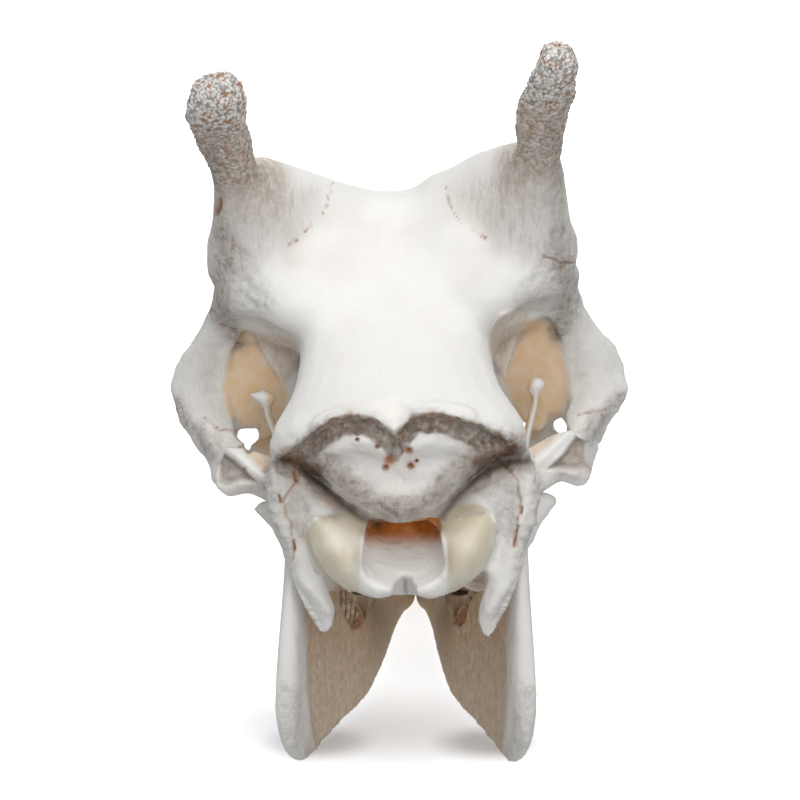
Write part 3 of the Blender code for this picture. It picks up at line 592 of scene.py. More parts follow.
RECESSES = (
    ((273, 463), (306, 460), (326, 476), (346, 498), (364, 512), (346, 500), (330, 500), (314, 508),
     (308, 520), (311, 540), (300, 545), (288, 527), (273, 509), (268, 485)),
    ((476, 457), (516, 448), (531, 467), (527, 497), (519, 524), (513, 551), (495, 536), (492, 512),
     (483, 500), (465, 491), (441, 506), (435, 512), (453, 488)),
)
FORAMINA = (
    ((389.5, 460.5), 4.2), ((385.5, 468), 2.3), ((377.5, 447), 2.0), ((408.5, 451), 3.0),
    ((410.5, 466), 3.0), ((416.5, 461), 1.6), ((357, 440), 1.6))


def sculpt_occiput(skin):
    """Rough V above the foramen magnum that overhangs two deep recesses, and the foramina."""
    for edge, outward in ((V_LEFT, -1), (V_RIGHT, 1)):
        skin.move(skin.traced(shifted(edge[:-1], 6 * outward, 11), 8.5, REAR_DEPTH) * 6.0, INWARD)
        skin.move(skin.traced(shifted(edge, -5 * outward, -7), 8.0, 40.0) * 2.6, BACK)
    for pocket in (((288, 464), (306, 471), (324, 485)), ((510, 458), (490, 464), (470, 480))):
        skin.move(skin.traced(pocket, 8.0, REAR_DEPTH) * 5.0, INWARD)
    for hollow in (((296, 500), (306, 530), (322, 560)), ((512, 498), (503, 528), (494, 560))):
        skin.move(skin.traced(hollow, 9.0, POCKET_DEPTH) * 5.0, INWARD)
    skin.renew()
    for side in (-1, 1):
        leg = [(402 + side * away, v) for away, v in ((20, 516), (74, 480), (112, 458))]
        skin.soften(skin.traced(leg, 12.0, 75.0), 8)
    skin.renew()
    for edge, outward in ((V_LEFT, -1), (V_RIGHT, 1)):
        band = skin.traced(shifted(edge, -5 * outward, -8), 11.0, 45.0)
        skin.roughen(band, (2.2, 6.5, 21.0), (1.2, 3.2, 0.0))
        skin.strokes(band, rough=1.0, grey=1.0)
        hidden = skin.traced(shifted(edge, 7 * outward, 12), 12.0, 70.0)
        skin.move(hidden * 1.2 * skin.grain(hidden, 5.0, seed=25.0))
        # Painted shade: grey under the V's overhanging lip
        skin.stroke("grey", 0.8 * hidden)
        groove = skin.through(shifted(edge[:5], 6 * outward, 10), 4.8) * (skin.at[:, 1] < 70.0)
        skin.soften(groove, 12)
        # Painted shade: the groove along the V's edge is darkened
        skin.stroke("dark", 0.9 * groove)
    # Painted shade: grey tone in the recesses between the V and the condyles
    for recess, tone in zip(RECESSES, (0.45, 0.15)):
        area = skin.inside(recess, 6.0)
        skin.roughen(area, (0.9, 9.0, 27.0), (0.3, 3.0, 0.0))
        skin.strokes(area, grey=tone, rough=0.35)
    # Painted shade: the pockets under the crest's ends are darkened with dark and brown paint; the
    # orange stain at their top is the bone's own.
    for pocket in (((285, 461), (300, 463), (318, 471)), ((512, 452), (495, 458), (478, 463))):
        skin.stroke("dark", 0.8 * skin.traced(pocket, 7.0, POCKET_DEPTH))
        skin.stroke("stain", 0.7 * skin.traced(shifted(pocket, 0, -2), 5.0, POCKET_DEPTH))
        skin.stroke("brown", skin.traced(shifted(pocket, 0, 6), 12.0, POCKET_DEPTH))
    for patch in (((322, 498), (332, 502), (337, 505)), ((470, 482), (475, 490))):
        skin.stroke("tan", 0.8 * skin.traced(patch, 4.5, POCKET_DEPTH, 3.0))
        skin.stroke("brown", 0.5 * skin.traced(patch, 3.0, POCKET_DEPTH, 3.0))
    for place, size in FORAMINA:
        skin.move(skin.traced([place], size, 45.0) * 5.0, INWARD)
        skin.stroke("stain", skin.traced([place], 1.35 * size, REAR_DEPTH))
    skin.renew()


MASTOIDS = (
    ((270, 460), (266, 480), (267, 500), (276, 520), (288, 545), (294, 563)),
    ((525, 450), (535, 475), (538, 495), (533, 520), (524, 548), (519, 565)),
)
PAROCCIPITALS = (
    ((294, 563), (303, 587), (315, 608), (329, 632)),
    ((519, 565), (512, 588), (502, 608), (491, 630)),
)
SLITS = (
    ((295, 541), (294, 551)), ((279, 497), (280, 502)), ((518, 526), (514, 546)),
    ((521, 508), (520, 513)), ((293, 470), (299, 480)))
SIDE_SEAMS = (
    ((492, 455), (505, 466), (517, 480), (520, 500), (517, 522), (514, 545)),
    ((301, 470), (297, 482), (283, 500), (288, 518), (295, 541), (294, 560)),
)


def sculpt_mastoids(skin):
    """Crusted ridges down to the paroccipital processes, their slits and the hollow beside them."""
    for side in (1, -1):
        out = side * skin.at[:, 0]
        low = skin.near((36.0 * side, 54.0, 100.0), 17.0) * ease(-out, -49.0, -43.0)
        skin.move(low * ease(out, 8.0, 20.0) * 20.0, (0.0, 0.2, 1.0))
    skin.renew()
    for ridge, process in zip(MASTOIDS, PAROCCIPITALS):
        on_ridge = skin.traced(ridge, 7.0)
        skin.move(skin.traced(ridge, 4.5) * 1.8, BACK)
        skin.roughen(on_ridge, (1.5, 5.0, 5.0), (0.6, 3.0, 0.0))
        edge = skin.traced(process, 4.0)
        skin.move(edge * (0.9 + 0.8 * skin.grain(edge, 3.5, seed=15.0)))
        skin.stroke("rough", np.maximum(0.6 * on_ridge, 0.3 * edge))
        skin.stroke("grey", 0.25 * on_ridge)
    for slit in SLITS:
        skin.move(skin.traced(slit, 1.5, sway=2.5) * -3.0)
        skin.stroke("stain", skin.traced(slit, 1.9, sway=2.5))
    for seam in SIDE_SEAMS:
        line = skin.traced(seam, 1.15, sway=3.0)
        skin.move(line * -1.0)
        skin.stroke("suture", line)
    skin.renew()
    for side, process in zip((-1, 1), PAROCCIPITALS):
        low = skin.traced(process[1:], 22.0) * ease(skin.view[:, 1], 572.0, 604.0)
        skin.move(low * 4.2, (-side, 0.0, 0.0))
        skin.move(skin.traced(shifted(process[1:3], -6 * side, 2), 7.0) * 2.0)
        tip = skin.traced([process[-1]], 9.0)
        skin.soften(tip, 14)
        skin.move(tip * 4.0, (0.0, 0.0, -1.0))
        skin.stroke("grey", 0.12 * skin.traced(shifted(process, -4 * side, 0), 7.0))
    skin.renew()


CONDYLES = (
    ((306, 528), (317, 517), (336, 512), (352, 509), (369, 520), (363, 534), (361, 550), (361, 575),
     (361, 597), (343, 594), (327, 583), (316, 568), (308, 552), (304, 538)),
    ((437, 516), (453, 506), (475, 502), (488, 508), (496, 525), (497, 541), (489, 563), (481, 577),
     (466, 591), (450, 599), (446, 588), (447, 563), (446, 544), (441, 528)),
)

# Middle of each condyle's dome, the way that it is long, its half sizes and its height
CONDYLE_DOMES = (((338, 552), (0.336, 0.942)), ((470, 549), (-0.311, 0.950)))
DOME_HALVES = (48.0, 31.0)
DOME_HEIGHT = 9.0
MAGNUM = ((368, 519), (440, 517), (446, 540), (446, 572), (362, 574), (363, 540))


def sculpt_condyles(skin):
    """Polished domes beside the foramen magnum, and the amber of its roof, painted partly as glow of
    light through the bone.
    """
    for outline, (middle, along) in zip(CONDYLES, CONDYLE_DOMES):
        skin.soften(skin.inside(outline, 5.0, REAR_DEPTH), 700)
        skin.renew()
        right, down = (skin.view - np.array(middle)).T
        long_way = (right * along[0] + down * along[1]) / DOME_HALVES[0]
        short_way = (right * along[1] - down * along[0]) / DOME_HALVES[1]
        dome = np.clip(1.0 - (long_way ** 2 + short_way ** 2), 0.0, 1.0)
        skin.move(skin.inside(outline, 7.0, REAR_DEPTH) * dome * DOME_HEIGHT, (0.0, -1.0, -0.1))
        skin.renew()
        skin.soften(skin.inside(outline, 3.0, REAR_DEPTH), 20)
        skin.stroke("ivory", skin.inside(outline, 3.0, REAR_DEPTH))
    skin.soften(skin.through(((368, 520), (440, 518)), 4.5) * (skin.at[:, 1] < 70.0), 24)
    skin.renew()
    y = skin.at[:, 1]
    opening = skin.inside(MAGNUM, 1.0, 90.0)
    inner = opening * ease(y, 14.0, 30.0)
    # Amber in the magnum's roof, fading downwards: partly painted glow of light through the thin bone
    skin.stroke("amber", inner * ease(-skin.view[:, 1], -552.0, -530.0))
    for corner in ((369, 532), (438, 534)):
        skin.move(skin.traced([corner], 3.4, 90.0) * inner * 6.0, INWARD)
        skin.stroke("stain", 0.8 * skin.traced([corner], 4.0, 90.0) * inner)
    # Tan and brown of the deeper base beside the condyles, with dark paint as painted shade
    for gap in ((341, 587), (477, 582)):
        lump = skin.through([gap], 9.0) * ease(y, 26.0, 34.0)
        skin.strokes(lump, tan=0.8, brown=0.8, dark=0.4)
    notch = skin.traced(((405, 584), (405, 594)), 4.5, REAR_DEPTH)
    skin.move(notch * 9.0, INWARD)
    skin.renew()


SHAFT_FEET = ((-81.9, 100.0, 347.5), (57.6, 100.0, 355.5))
BROW_EDGES = (
    ((212, 150), (214, 180), (218, 210), (221, 240), (224, 265), (217, 290), (220, 315), (231, 334)),
    ((553, 130), (560, 169), (560, 206), (560, 240), (562, 265), (573, 290), (570, 312), (558, 328)),
)
SUTURES = (
    ((333, 183), (329, 192), (328, 200), (326, 209), (322, 217), (312, 225), (306, 231), (299, 239),
     (290, 244)),
    ((443, 185), (447, 192), (448, 200), (451, 211), (459, 217), (466, 225), (472, 230), (480, 236),
     (491, 238)),
)

# Pushes: a path in the rear view, how wide it acts, and the way and distance in millimetres
OSSICONE_SHIFTS = (
    (((194, 118), (203, 148)), 11.0, (-4.2, 0.0, 0.0)),
    (((252, 146), (258, 156)), 9.0, (3.0, 0.0, 3.0)),
    (((262, 160), (274, 165)), 9.0, (0.0, 0.0, 3.0)),
    (((524, 104), (522, 136)), 13.0, (-6.2, 0.0, 0.0)),
    (((506, 146), (490, 154)), 9.0, (-3.5, 0.0, 3.4)),
    (((534, 50), (530, 66)), 8.0, (3.0, 0.0, 0.0)),
    (((572, 96),), 10.0, (2.0, 0.0, 0.0)),
)
ROOF_RISE = ((478, 160), (455, 171), (436, 181))
BROW_DEPTH = 150.0


def sculpt_ossicones(skin, relief):
    """Granular knobs that fade down the shafts and the brow's edges into fine streaks."""
    x, y, z = skin.at.T
    here = ease(np.abs(x), 30.0, 44.0) * ease(z, 300.0, 316.0) * ease(-y, -150.0, -125.0)
    for path, radius, shift in OSSICONE_SHIFTS:
        skin.move(skin.through(path, radius) * here, shift)
    crown = skin.through(ROOF_RISE, 17.0) * ease(z, 270.0, 300.0) * ease(-y, -230.0, -190.0)
    skin.move(crown * 4.2, UP)
    skin.renew()
    for foot in SHAFT_FEET:
        skin.soften(np.clip(1.6 * skin.near(unlean(np.array([foot])), 27.0), 0.0, 1.0), 420)
    skin.renew()
    for side, brow in zip((-1, 1), BROW_EDGES):
        x, y, z = skin.at.T
        here = ease(side * x, 52.0, 66.0) * ease(-y, -150.0, -110.0)
        knob = here * ease(z, 350.0, 374.0)
        shaft = here * ease(z, 322.0, 346.0) * ease(-y, -120.0, -90.0)
        edge = skin.traced(brow, 11.0, 185.0)
        coat = np.clip(np.maximum(knob, 0.75 * shaft), 0.0, 1.0)
        grains = skin.granules(coat, relief.granule, seed=7.0 * side)
        skin.move(coat * relief.granule_height * 1.5 * (grains - 0.45))
        lumpy = np.maximum(coat, edge)
        skin.move(lumpy * 0.9 * skin.grain(lumpy, 6.0, seed=2.0))
        skin.stroke("rough", 0.6 * edge)
        skin.stroke("granular", coat)
        skin.stroke("striated", np.maximum(shaft, edge))
        dark = here * ease(z, 300.0, 345.0) * (1.0 - 0.95 * ease(z, 362.0, 380.0))
        skin.stroke("grey", np.maximum(0.9 * dark, 0.45 * edge))
        skin.stroke("brown", 0.50 * dark)
    slit = skin.traced(((220, 200), (216, 214)), 2.2, BROW_DEPTH, 2.0)
    skin.move(slit * -2.5)
    skin.stroke("stain", slit)
    scallops = skin.traced(((234, 240), (232, 253)), 2.2, BROW_DEPTH)
    skin.stroke("stain", 0.7 * scallops * ease(skin.grain(scallops, 1.6), -0.2, 0.1))
    skin.renew()


ROOF_DEPTH = 200.0
BROW_SEAM = ((545, 257), (552, 260), (558, 264), (566, 262), (574, 263))
ROOF_FANS = (
    ((225, 150), (262, 158), (328, 186), (300, 240), (250, 275), (215, 290)),
    ((444, 186), (520, 152), (560, 165), (570, 262), (520, 272), (466, 226)),
)


def sculpt_roof(skin):
    """Sutures as rows of pits, streaks that run from the ossicones, and a faint boss."""
    for row in SUTURES:
        line = skin.traced(row, 1.25, ROOF_DEPTH, 2.0)
        dots = ease(skin.grain(line, 2.6, seed=13.0), -0.15, 0.15)
        skin.move(line * dots * -0.8)
        skin.stroke("suture", line * dots)
    jagged = skin.traced(BROW_SEAM, 1.2, BROW_DEPTH, 4.0)
    skin.move(jagged * -1.6)
    skin.stroke("suture", 0.7 * jagged)
    skin.move(skin.traced([(388, 274)], 4.0, ROOF_DEPTH) * 0.8)
    for fan in ROOF_FANS:
        area = skin.inside(fan, 26.0, ROOF_DEPTH)
        skin.move(area * 0.28 * skin.grain(area, 2.6, (1.0, 0.3, 0.3), 17.0))
        skin.strokes(area, striated=1.0, grey=0.35)
    skin.renew()


ARCH_DEPTH = 160.0
CHEEK_DEPTH = 260.0
GREY_PLATES = (
    ((256, 336), (262, 327), (276, 329), (290, 337), (299, 347), (300, 358), (293, 370), (284, 386),
     (277, 374), (266, 357)),
    ((486, 346), (490, 326), (501, 312), (514, 309), (523, 312), (525, 320), (520, 334), (512, 352),
     (506, 370), (505, 380), (496, 366)),
)
TAN_PLATES = (
    ((240, 326), (256, 334), (267, 357), (288, 386), (290, 402), (284, 425), (278, 455), (264, 461),
     (249, 446), (242, 428), (226, 414), (220, 392), (224, 365), (231, 344)),
    ((522, 317), (550, 320), (557, 334), (563, 352), (570, 376), (570, 400), (563, 420), (548, 426),
     (536, 444), (526, 442), (517, 421), (509, 402), (501, 379), (511, 352), (520, 334)),
)
ARCH_BARS = (
    ((226, 448), (238, 457), (250, 468), (263, 481)), ((571, 432), (557, 445), (541, 461)))
ARCH_FLOORS = (
    ((238, 445), (252, 450), (268, 455), (273, 463), (266, 476), (254, 464)),
    ((563, 428), (553, 425), (537, 432), (530, 447), (533, 459), (548, 447)),
)
ARCH_HOLLOWS = (
    ((223, 453), (217, 465), (218, 482), (228, 486), (240, 482), (258, 483), (246, 471), (234, 460)),
    ((576, 436), (587, 442), (590, 468), (576, 472), (560, 470), (546, 470), (563, 454)),
)
ARCH_LIPS = (((224, 482), (240, 487), (258, 487)), ((558, 472), (575, 475), (589, 470)))
CHEEK_SEAMS = (
    ((203, 418), (213, 426), (224, 429), (236, 432)), ((576, 416), (589, 411), (608, 408)))
CHEEK_CRUSTS = (
    ((176, 402), (186, 424), (198, 430), (212, 455)), ((620, 398), (606, 410), (590, 440)))
CHEEK_EDGES = (
    ((575, 285), (610, 320), (628, 389), (606, 447)), ((215, 290), (183, 330), (171, 388), (200, 455)))
CHEEK_SHADOWS = (
    ((214, 350), (209, 375), (213, 400), (226, 420)), ((570, 335), (580, 365), (580, 395), (568, 415)))
FOSSA_RIMS = (
    ((226, 352), (221, 380), (224, 410), (232, 430)), ((565, 335), (573, 365), (573, 395), (568, 425)))
BROW_CRUMBS = (
    ((212, 308), (222, 318), (236, 334), (240, 345)), ((566, 300), (562, 325), (556, 334)))
BROW_CRUSTS = (
    ((205, 212), (236, 222), (262, 262), (274, 290), (276, 310), (256, 320), (237, 332), (222, 318),
     (205, 304)),
    ((582, 212), (550, 222), (530, 262), (515, 288), (506, 305), (530, 312), (556, 327), (570, 314),
     (582, 302)),
)
CHEEK_SHIFTS = (
    (((614, 425), (608, 438)), 12.0, (-5.0, 0.0, 0.0)),
    (((628, 389),), 10.0, (3.0, 0.0, 0.0)),
    (((171, 388),), 12.0, (-2.6, 0.0, 0.0)),
    (((188, 436), (198, 452)), 10.0, (2.0, 0.0, 0.0)),
    (((212, 244), (213, 272)), 14.0, (-2.8, 0.0, 0.0)),
    (((572, 240), (575, 270)), 14.0, (3.0, 0.0, 0.0)),
    (((222, 476), (236, 488)), 11.0, (-4.5, 0.0, -3.0)),
    (((582, 468), (576, 478)), 11.0, (3.5, 0.0, -4.5)),
)
CHEEK_TOPS = (
    (((580, 284), (600, 303), (614, 331), (624, 356)), 312.0, (-6.2, 0.0, -5.6)),
    (((214, 284), (193, 312), (182, 338), (175, 360)), 328.0, (5.0, 0.0, -4.1)),
)
WINDOW_SHIFTS = (
    (((238.5, 443),), 4.5, (3.6, 0.0, -1.0)),
    (((257, 445),), 4.5, (-3.6, 0.0, -1.0)),
    (((248, 449),), 4.0, (0.0, 0.0, -3.2)),
    (((238, 428),), 4.0, (-2.4, 0.0, 2.0)),
    (((257, 428),), 4.0, (2.4, 0.0, 2.0)),
    (((522, 417), (539, 420)), 6.0, (0.0, 0.0, -6.0)),
)


def sculpt_fossae(skin):
    """Plates in the temporal fossae, and the bars and hollows of the cheek arches' roots."""
    for path, radius, shift in CHEEK_SHIFTS + WINDOW_SHIFTS:
        x, y, _ = skin.at.T
        side = ease(np.abs(x), 66.0, 80.0) * (y < 270.0) * (y > 60.0)
        skin.move(skin.through(path, radius) * side, shift)
    for path, level, shift in CHEEK_TOPS:
        at_level = np.exp(-(((skin.view[:, 1] - level) / 27.0) ** 2))
        skin.move(skin.through(path, 14.0) * side * at_level, shift)
    skin.renew()
    margins = np.maximum(*(skin.through(edge, 14.0) for edge in CHEEK_EDGES))
    skin.fair(60, margins * ease(np.abs(skin.at[:, 0]), 84.0, 94.0))
    skin.renew()
    rims = np.maximum(*(skin.traced(rim, 13.0, 200.0) for rim in FOSSA_RIMS))
    skin.fair(30, np.clip(1.4 * rims, 0.0, 1.0))
    skin.renew()
    for grey, tan in zip(GREY_PLATES, TAN_PLATES):
        plate = skin.inside(grey, 3.5, 230.0)
        skin.move(plate * 3.5, BACK)
        skin.strokes(plate, grey=0.25, tan=0.30, striated=1.0)
        # Tan of the thin plates, bright in part as painted glow of light shining through them
        skin.stroke("tan", skin.inside(tan, 6.0, CHEEK_DEPTH) * ease(skin.at[:, 1], 90.0, 108.0))
    cheeks = ease(np.abs(skin.at[:, 0]), 84.0, 100.0) * ease(skin.at[:, 2], 150.0, 180.0)
    cheeks = cheeks * ease(-skin.at[:, 2], -310.0, -280.0)
    skin.strokes(cheeks, striated=0.35, rough=0.14)
    for floor in ARCH_FLOORS:
        low = skin.inside(floor, 4.0, 190.0)
        skin.move(low * 5.0, INWARD)
        skin.strokes(low, tan=0.8, grey=0.4)
    for bar, hollow in zip(ARCH_BARS, ARCH_HOLLOWS):
        skin.move(skin.inside(hollow, 5.0, ARCH_DEPTH) * 7.0, INWARD)
        skin.move(skin.traced(bar, 4.5, ARCH_DEPTH) * 2.4, (0.0, -0.8, 0.6))
        # Painted shade: the arch hollows are darkened with grey, brown and dark paint
        skin.strokes(skin.inside(hollow, 5.0, ARCH_DEPTH), grey=1.0, brown=0.5, dark=0.35)
    for lip in ARCH_LIPS:
        skin.strokes(skin.traced(lip, 6.0, 170.0), grey=0.55, rough=0.35)
    for shadow in CHEEK_SHADOWS:
        skin.stroke("grey", 0.55 * skin.traced(shadow, 10.0, CHEEK_DEPTH))
    for crust in BROW_CRUSTS:
        area = skin.inside(crust, 12.0, 215.0)
        skin.move(area * 0.7 * skin.grain(area, 4.5, seed=51.0))
        skin.strokes(area, rough=0.38, grey=0.1)
    for path in BROW_CRUMBS:
        crumbs = skin.traced(path, 7.0, CHEEK_DEPTH)
        skin.move(crumbs * 0.8 * skin.grain(crumbs, 3.4))
        skin.strokes(crumbs, rough=0.8, grey=0.5)
    skin.stroke("stain", skin.traced([(244.5, 470)], 2.0, ARCH_DEPTH))
    skin.renew()
    for seam, crust in zip(CHEEK_SEAMS, CHEEK_CRUSTS):
        line = skin.traced(seam, 1.2, 230.0, 3.0)
        skin.move(line * -0.9)
        skin.stroke("suture", 0.8 * line)
        patch = skin.traced(crust, 7.0, CHEEK_DEPTH)
        skin.move(patch * 0.8 * skin.grain(patch, 3.2))
        skin.strokes(patch, rough=0.8, grey=0.5)
    skin.renew()


def sculpt_cranium(obj, relief):
    """Fairs the fused cranium, then works all its relief and paint into it."""
    skin = Sculpt(obj)
    skin.fair(6, np.ones(len(skin.at)))
    skin.fair(34, broad_share(skin.at))
    x, y, z = skin.at.T
    vault = ease(z, 205.0, 235.0) * ease(y, 50.0, 80.0) * ease(-y, -260.0, -230.0)
    vault = vault * ease(-np.abs(x), -84.0, -64.0)
    skin.fair(60, vault)
    skin.renew()
    # Painted shade: broad hollows are darkened where shade falls
    skin.stroke("deep", skin.hollows(90, 6.0))
    arches = ease(np.abs(skin.at[:, 0]), 92.0, 104.0) * ease(skin.at[:, 2], 196.0, 214.0)
    skin.fair(45, arches)
    skin.renew()
    sculpt_fossae(skin)
    sculpt_crest(skin, relief)
    sculpt_occiput(skin)
    sculpt_mastoids(skin)
    sculpt_condyles(skin)
    sculpt_ossicones(skin, relief)
    sculpt_roof(skin)
    rear = ease(-skin.at[:, 1], -60.0, -45.0) * ease(-skin.at[:, 2], -215.0, -200.0)
    rear = rear * (1.0 - 0.8 * skin.paint["ivory"])
    skin.roughen(rear, (0.5, 9.0, 41.0), (0.25, 3.0, 43.0))
    # Painted shade: fine creases are darkened
    skin.stroke("hollow", skin.hollows(10, 1.2))
    skin.finish()


# Relief of the lower jaw: left, then right
JAW_CRUSTS = (
    ((279, 680), (288, 677), (301, 688), (304, 712), (305, 737), (318, 757), (298, 758), (282, 740),
     (274, 706)),
    ((517, 677), (540, 683), (538, 718), (531, 746), (514, 758), (502, 756), (511, 731), (514, 706)),
)
JAW_RIDGES = (
    ((313, 615), (305, 651), (305, 688), (311, 731), (317, 752)),
    ((499, 621), (508, 645), (510, 682), (508, 718), (503, 750)),
)
CRYPTS = (
    ((339, 581), (346, 587), (374, 592), (377, 600), (369, 610), (364, 626), (353, 631), (346, 619),
     (340, 603)),
    ((448, 592), (456, 579), (465, 568), (478, 576), (477, 591), (469, 604), (465, 622), (458, 627),
     (451, 622), (453, 606), (447, 598)),
)
CRYPT_RIB = 4.7
CRYPT_HEIGHT = 45.0
CORONOIDS = ((255, 398), (523, 384))


def crypt_area(skin, index):
    return skin.inside(CRYPTS[index], 1.6, 260.0)


def sculpt_crypt(skin, index):
    """Broken open crypt of the last molar, with its curved ribs and brown spongy rim."""
    area = crypt_area(skin, index)
    way = 1.0 if index == 0 else -1.0
    u, v = skin.view.T
    middle, top = np.mean(CRYPTS[index], axis=0)[0], min(y for _, y in CRYPTS[index])
    down = (v - top) / CRYPT_HEIGHT
    bend = u - middle + 7.0 * (down - 0.5) ** 2 * way
    ribs = np.cos(2.0 * math.pi * bend / CRYPT_RIB)
    core = area * ease(-np.abs(bend + 5.0 * way), -12.0, -8.0) * ease(-down, -0.92, -0.80)
    sponge = area * (1.0 - core)
    holes = skin.grain(sponge, 3.0, seed=61.0)
    skin.move(area * -2.5)
    skin.move(core * 1.3 * ribs + sponge * 2.0 * holes)
    skin.stroke("tan", area)
    skin.stroke("stain", 0.75 * sponge * ease(holes, -0.4, 0.1))
    # Painted shade: dark between the crypt's ribs and in the holes of its sponge
    grooves = np.maximum(core * ease(-ribs, -0.1, 0.5), sponge * ease(-holes, 0.0, 0.35))
    skin.stroke("dark", 0.85 * grooves)
    skin.stroke("brown", 0.6 * core)


def sculpt_jaw(skin, side):
    """Crusted rear edge with a ridge beside it, and streaks and amber tan on the inner face, and painted
    shade on that face and in the hollows.
    """
    index = 1 if side > 0 else 0
    ridge = JAW_RIDGES[index]
    skin.move(skin.traced(ridge, 3.5, 140.0) * 1.4, (-0.5 * side, -0.8, 0.0))
    skin.move(skin.traced(shifted(ridge, -7 * side, 0), 5.0, 160.0) * -1.8)
    crust = skin.inside(JAW_CRUSTS[index], 5.0, 140.0)
    skin.move(crust * 0.9 * skin.grain(crust, 4.5, seed=31.0))
    skin.strokes(crust, granular=0.12, rough=0.36)
    skin.move(skin.through([CORONOIDS[index]], 5.0) * 3.6, (side * 0.9, 0.0, 0.5))
    inner = skin.facing((-side, 0.0, 0.0), 0.4)
    warm = inner * ease(skin.at[:, 1], 70.0, 100.0)
    skin.stroke("tan", warm * (0.75 + 0.25 * ease(-skin.view[:, 1], -680.0, -600.0)))
    skin.stroke("striated", 0.55 * inner)
    # Partly painted shade: grey and brown darken the inward-facing side, besides its real tan
    skin.strokes(warm, grey=0.25, brown=0.35)
    sculpt_crypt(skin, index)
    skin.move(inner * 0.35 * skin.grain(inner, 3.2, (1.0, 0.5, 0.25), 37.0))
    # Painted shade: fine creases and broad hollows are darkened
    skin.stroke("hollow", skin.hollows(10, 1.2))
    skin.stroke("deep", skin.hollows(60, 6.0) * ease(skin.at[:, 1], 60.0, 90.0))


def fine_parts(obj):
    """Which points lie where the relief is fine: the occiput, the ossicones and the rear edges."""
    x, y, z = unlean(to_skull(read_points(obj.data))).T
    occiput = (y < 58.0) & (z > 70.0)
    shafts = (z > 262.0) & (y < 128.0) & (np.abs(x) > 50.0 + 0.3 * np.maximum(y - 60.0, 0.0))
    roots = (np.abs(x) > 72.0) & (y > 55.0) & (y < 110.0) & (z > 148.0) & (z < 205.0)
    return occiput | shafts | roots


def pitted_part(obj):
    """Which points lie in the middle of the occiput, where the foramina are."""
    points = to_skull(read_points(obj.data))
    u, v = rear_view(points).T
    return (points[:, 1] < 45.0) & (u > 352.0) & (u < 422.0) & (v > 434.0) & (v < 474.0)


# Parting the cranium


class Cut:
    """Plane that parts the faces near it; both are tested in the skull's own frame."""

    def __init__(self, centre, normal, near):
        self.centre = Vector(to_frame(np.array(centre, float)))
        self.normal = Vector(normal).normalized()
        self.near = near

    def holds(self, point):
        return abs((point - self.centre).dot(self.normal)) < ON_PLANE


def arch_axes(side):
    turn = Matrix.Rotation(-side * ARCH_YAW, 3, "Z")
    return turn @ Vector((1, 0, 0)), turn @ Vector((0, 1, 0))


def in_arch(side, points, grow=0.0):
    x_way, y_way = (np.array(v) for v in arch_axes(side))
    away = points - np.array(ARCH_CENTRE) * (side, 1.0, 1.0)
    return ((np.abs(away @ x_way) < ARCH_HALF[0] + grow) & (np.abs(away @ y_way) < ARCH_HALF[1] + grow)
            & (np.abs(away[:, 2]) < ARCH_HALF[2] + grow))


def ossicone_level(side):
    """Height of the cut under an ossicone's knob, as the skull leans."""
    return OSSICONE_CUT_Z + LEAN_ROLL * side * OSSICONE_X


def in_ossicone(side, points, grow=0.0):
    x, y, z = points.T
    return ((np.abs(x - side * OSSICONE_X - LEAN_X) < OSSICONE_HALF + grow)
            & (y < OSSICONE_REACH_Y + grow) & (z > ossicone_level(side) - grow))


def in_face(points):
    x, y, z = points.T
    return (y > FACE_CUT_Y) | ((y > TOOTH_CUT_Y) & (z < TOOTH_CUT_Z) & (np.abs(x) < TOOTH_HALF))


def beside(axis, level):
    """Test for places near a level of an axis: 0 is x, 1 is y and 2 is z."""
    return lambda p: np.abs(p[:, axis] - level) < CUT_REACH


def over_teeth(p):
    return (beside(2, TOOTH_CUT_Z)(p) & (p[:, 1] > TOOTH_CUT_Y - CUT_REACH)
            & (p[:, 1] < FACE_CUT_Y + 0.001) & (np.abs(p[:, 0]) < TOOTH_HALF))


def behind_teeth(p):
    return (beside(1, TOOTH_CUT_Y)(p) & (p[:, 2] < TOOTH_CUT_Z + 0.001)
            & (np.abs(p[:, 0]) < TOOTH_HALF))


def parting_cuts():
    cuts = [
        Cut((0, FACE_CUT_Y, 0), INWARD, beside(1, FACE_CUT_Y)),
        Cut((0, 0, TOOTH_CUT_Z), UP, over_teeth),
        Cut((0, TOOTH_CUT_Y, 0), INWARD, behind_teeth),
        Cut((0, REAR_CUT_Y, 0), INWARD, beside(1, REAR_CUT_Y)),
        Cut((0, FRONTAL_CUT_Y, 0), INWARD, beside(1, FRONTAL_CUT_Y)),
    ]
    for side in (1, -1):
        cuts.append(Cut((0, 0, ossicone_level(side)), UP, partial(in_ossicone, side, grow=BOX_REACH)))
        centre = np.array(ARCH_CENTRE) * (side, 1.0, 1.0)
        for way, half in zip(arch_axes(side), ARCH_HALF):
            for end in (half, -half):
                cuts.append(Cut(centre + end * np.array(way), way,
                                partial(in_arch, side, grow=BOX_REACH)))
    return cuts


def face_middles(model):
    return to_skull(np.array([f.calc_center_median() for f in model.faces]))


def cut_along(model, cuts):
    """Cuts the faces near each plane along it."""
    for cut in cuts:
        chosen = cut.near(to_skull(np.array([v.co for v in model.verts])))
        faces = {f for v, wanted in zip(model.verts, chosen) if wanted for f in v.link_faces}
        edges = {e for f in faces for e in f.edges}
        verts = {v for f in faces for v in f.verts}
        bmesh.ops.bisect_plane(model, geom=[*faces, *edges, *verts], dist=1e-6,
                               plane_co=cut.centre, plane_no=cut.normal)


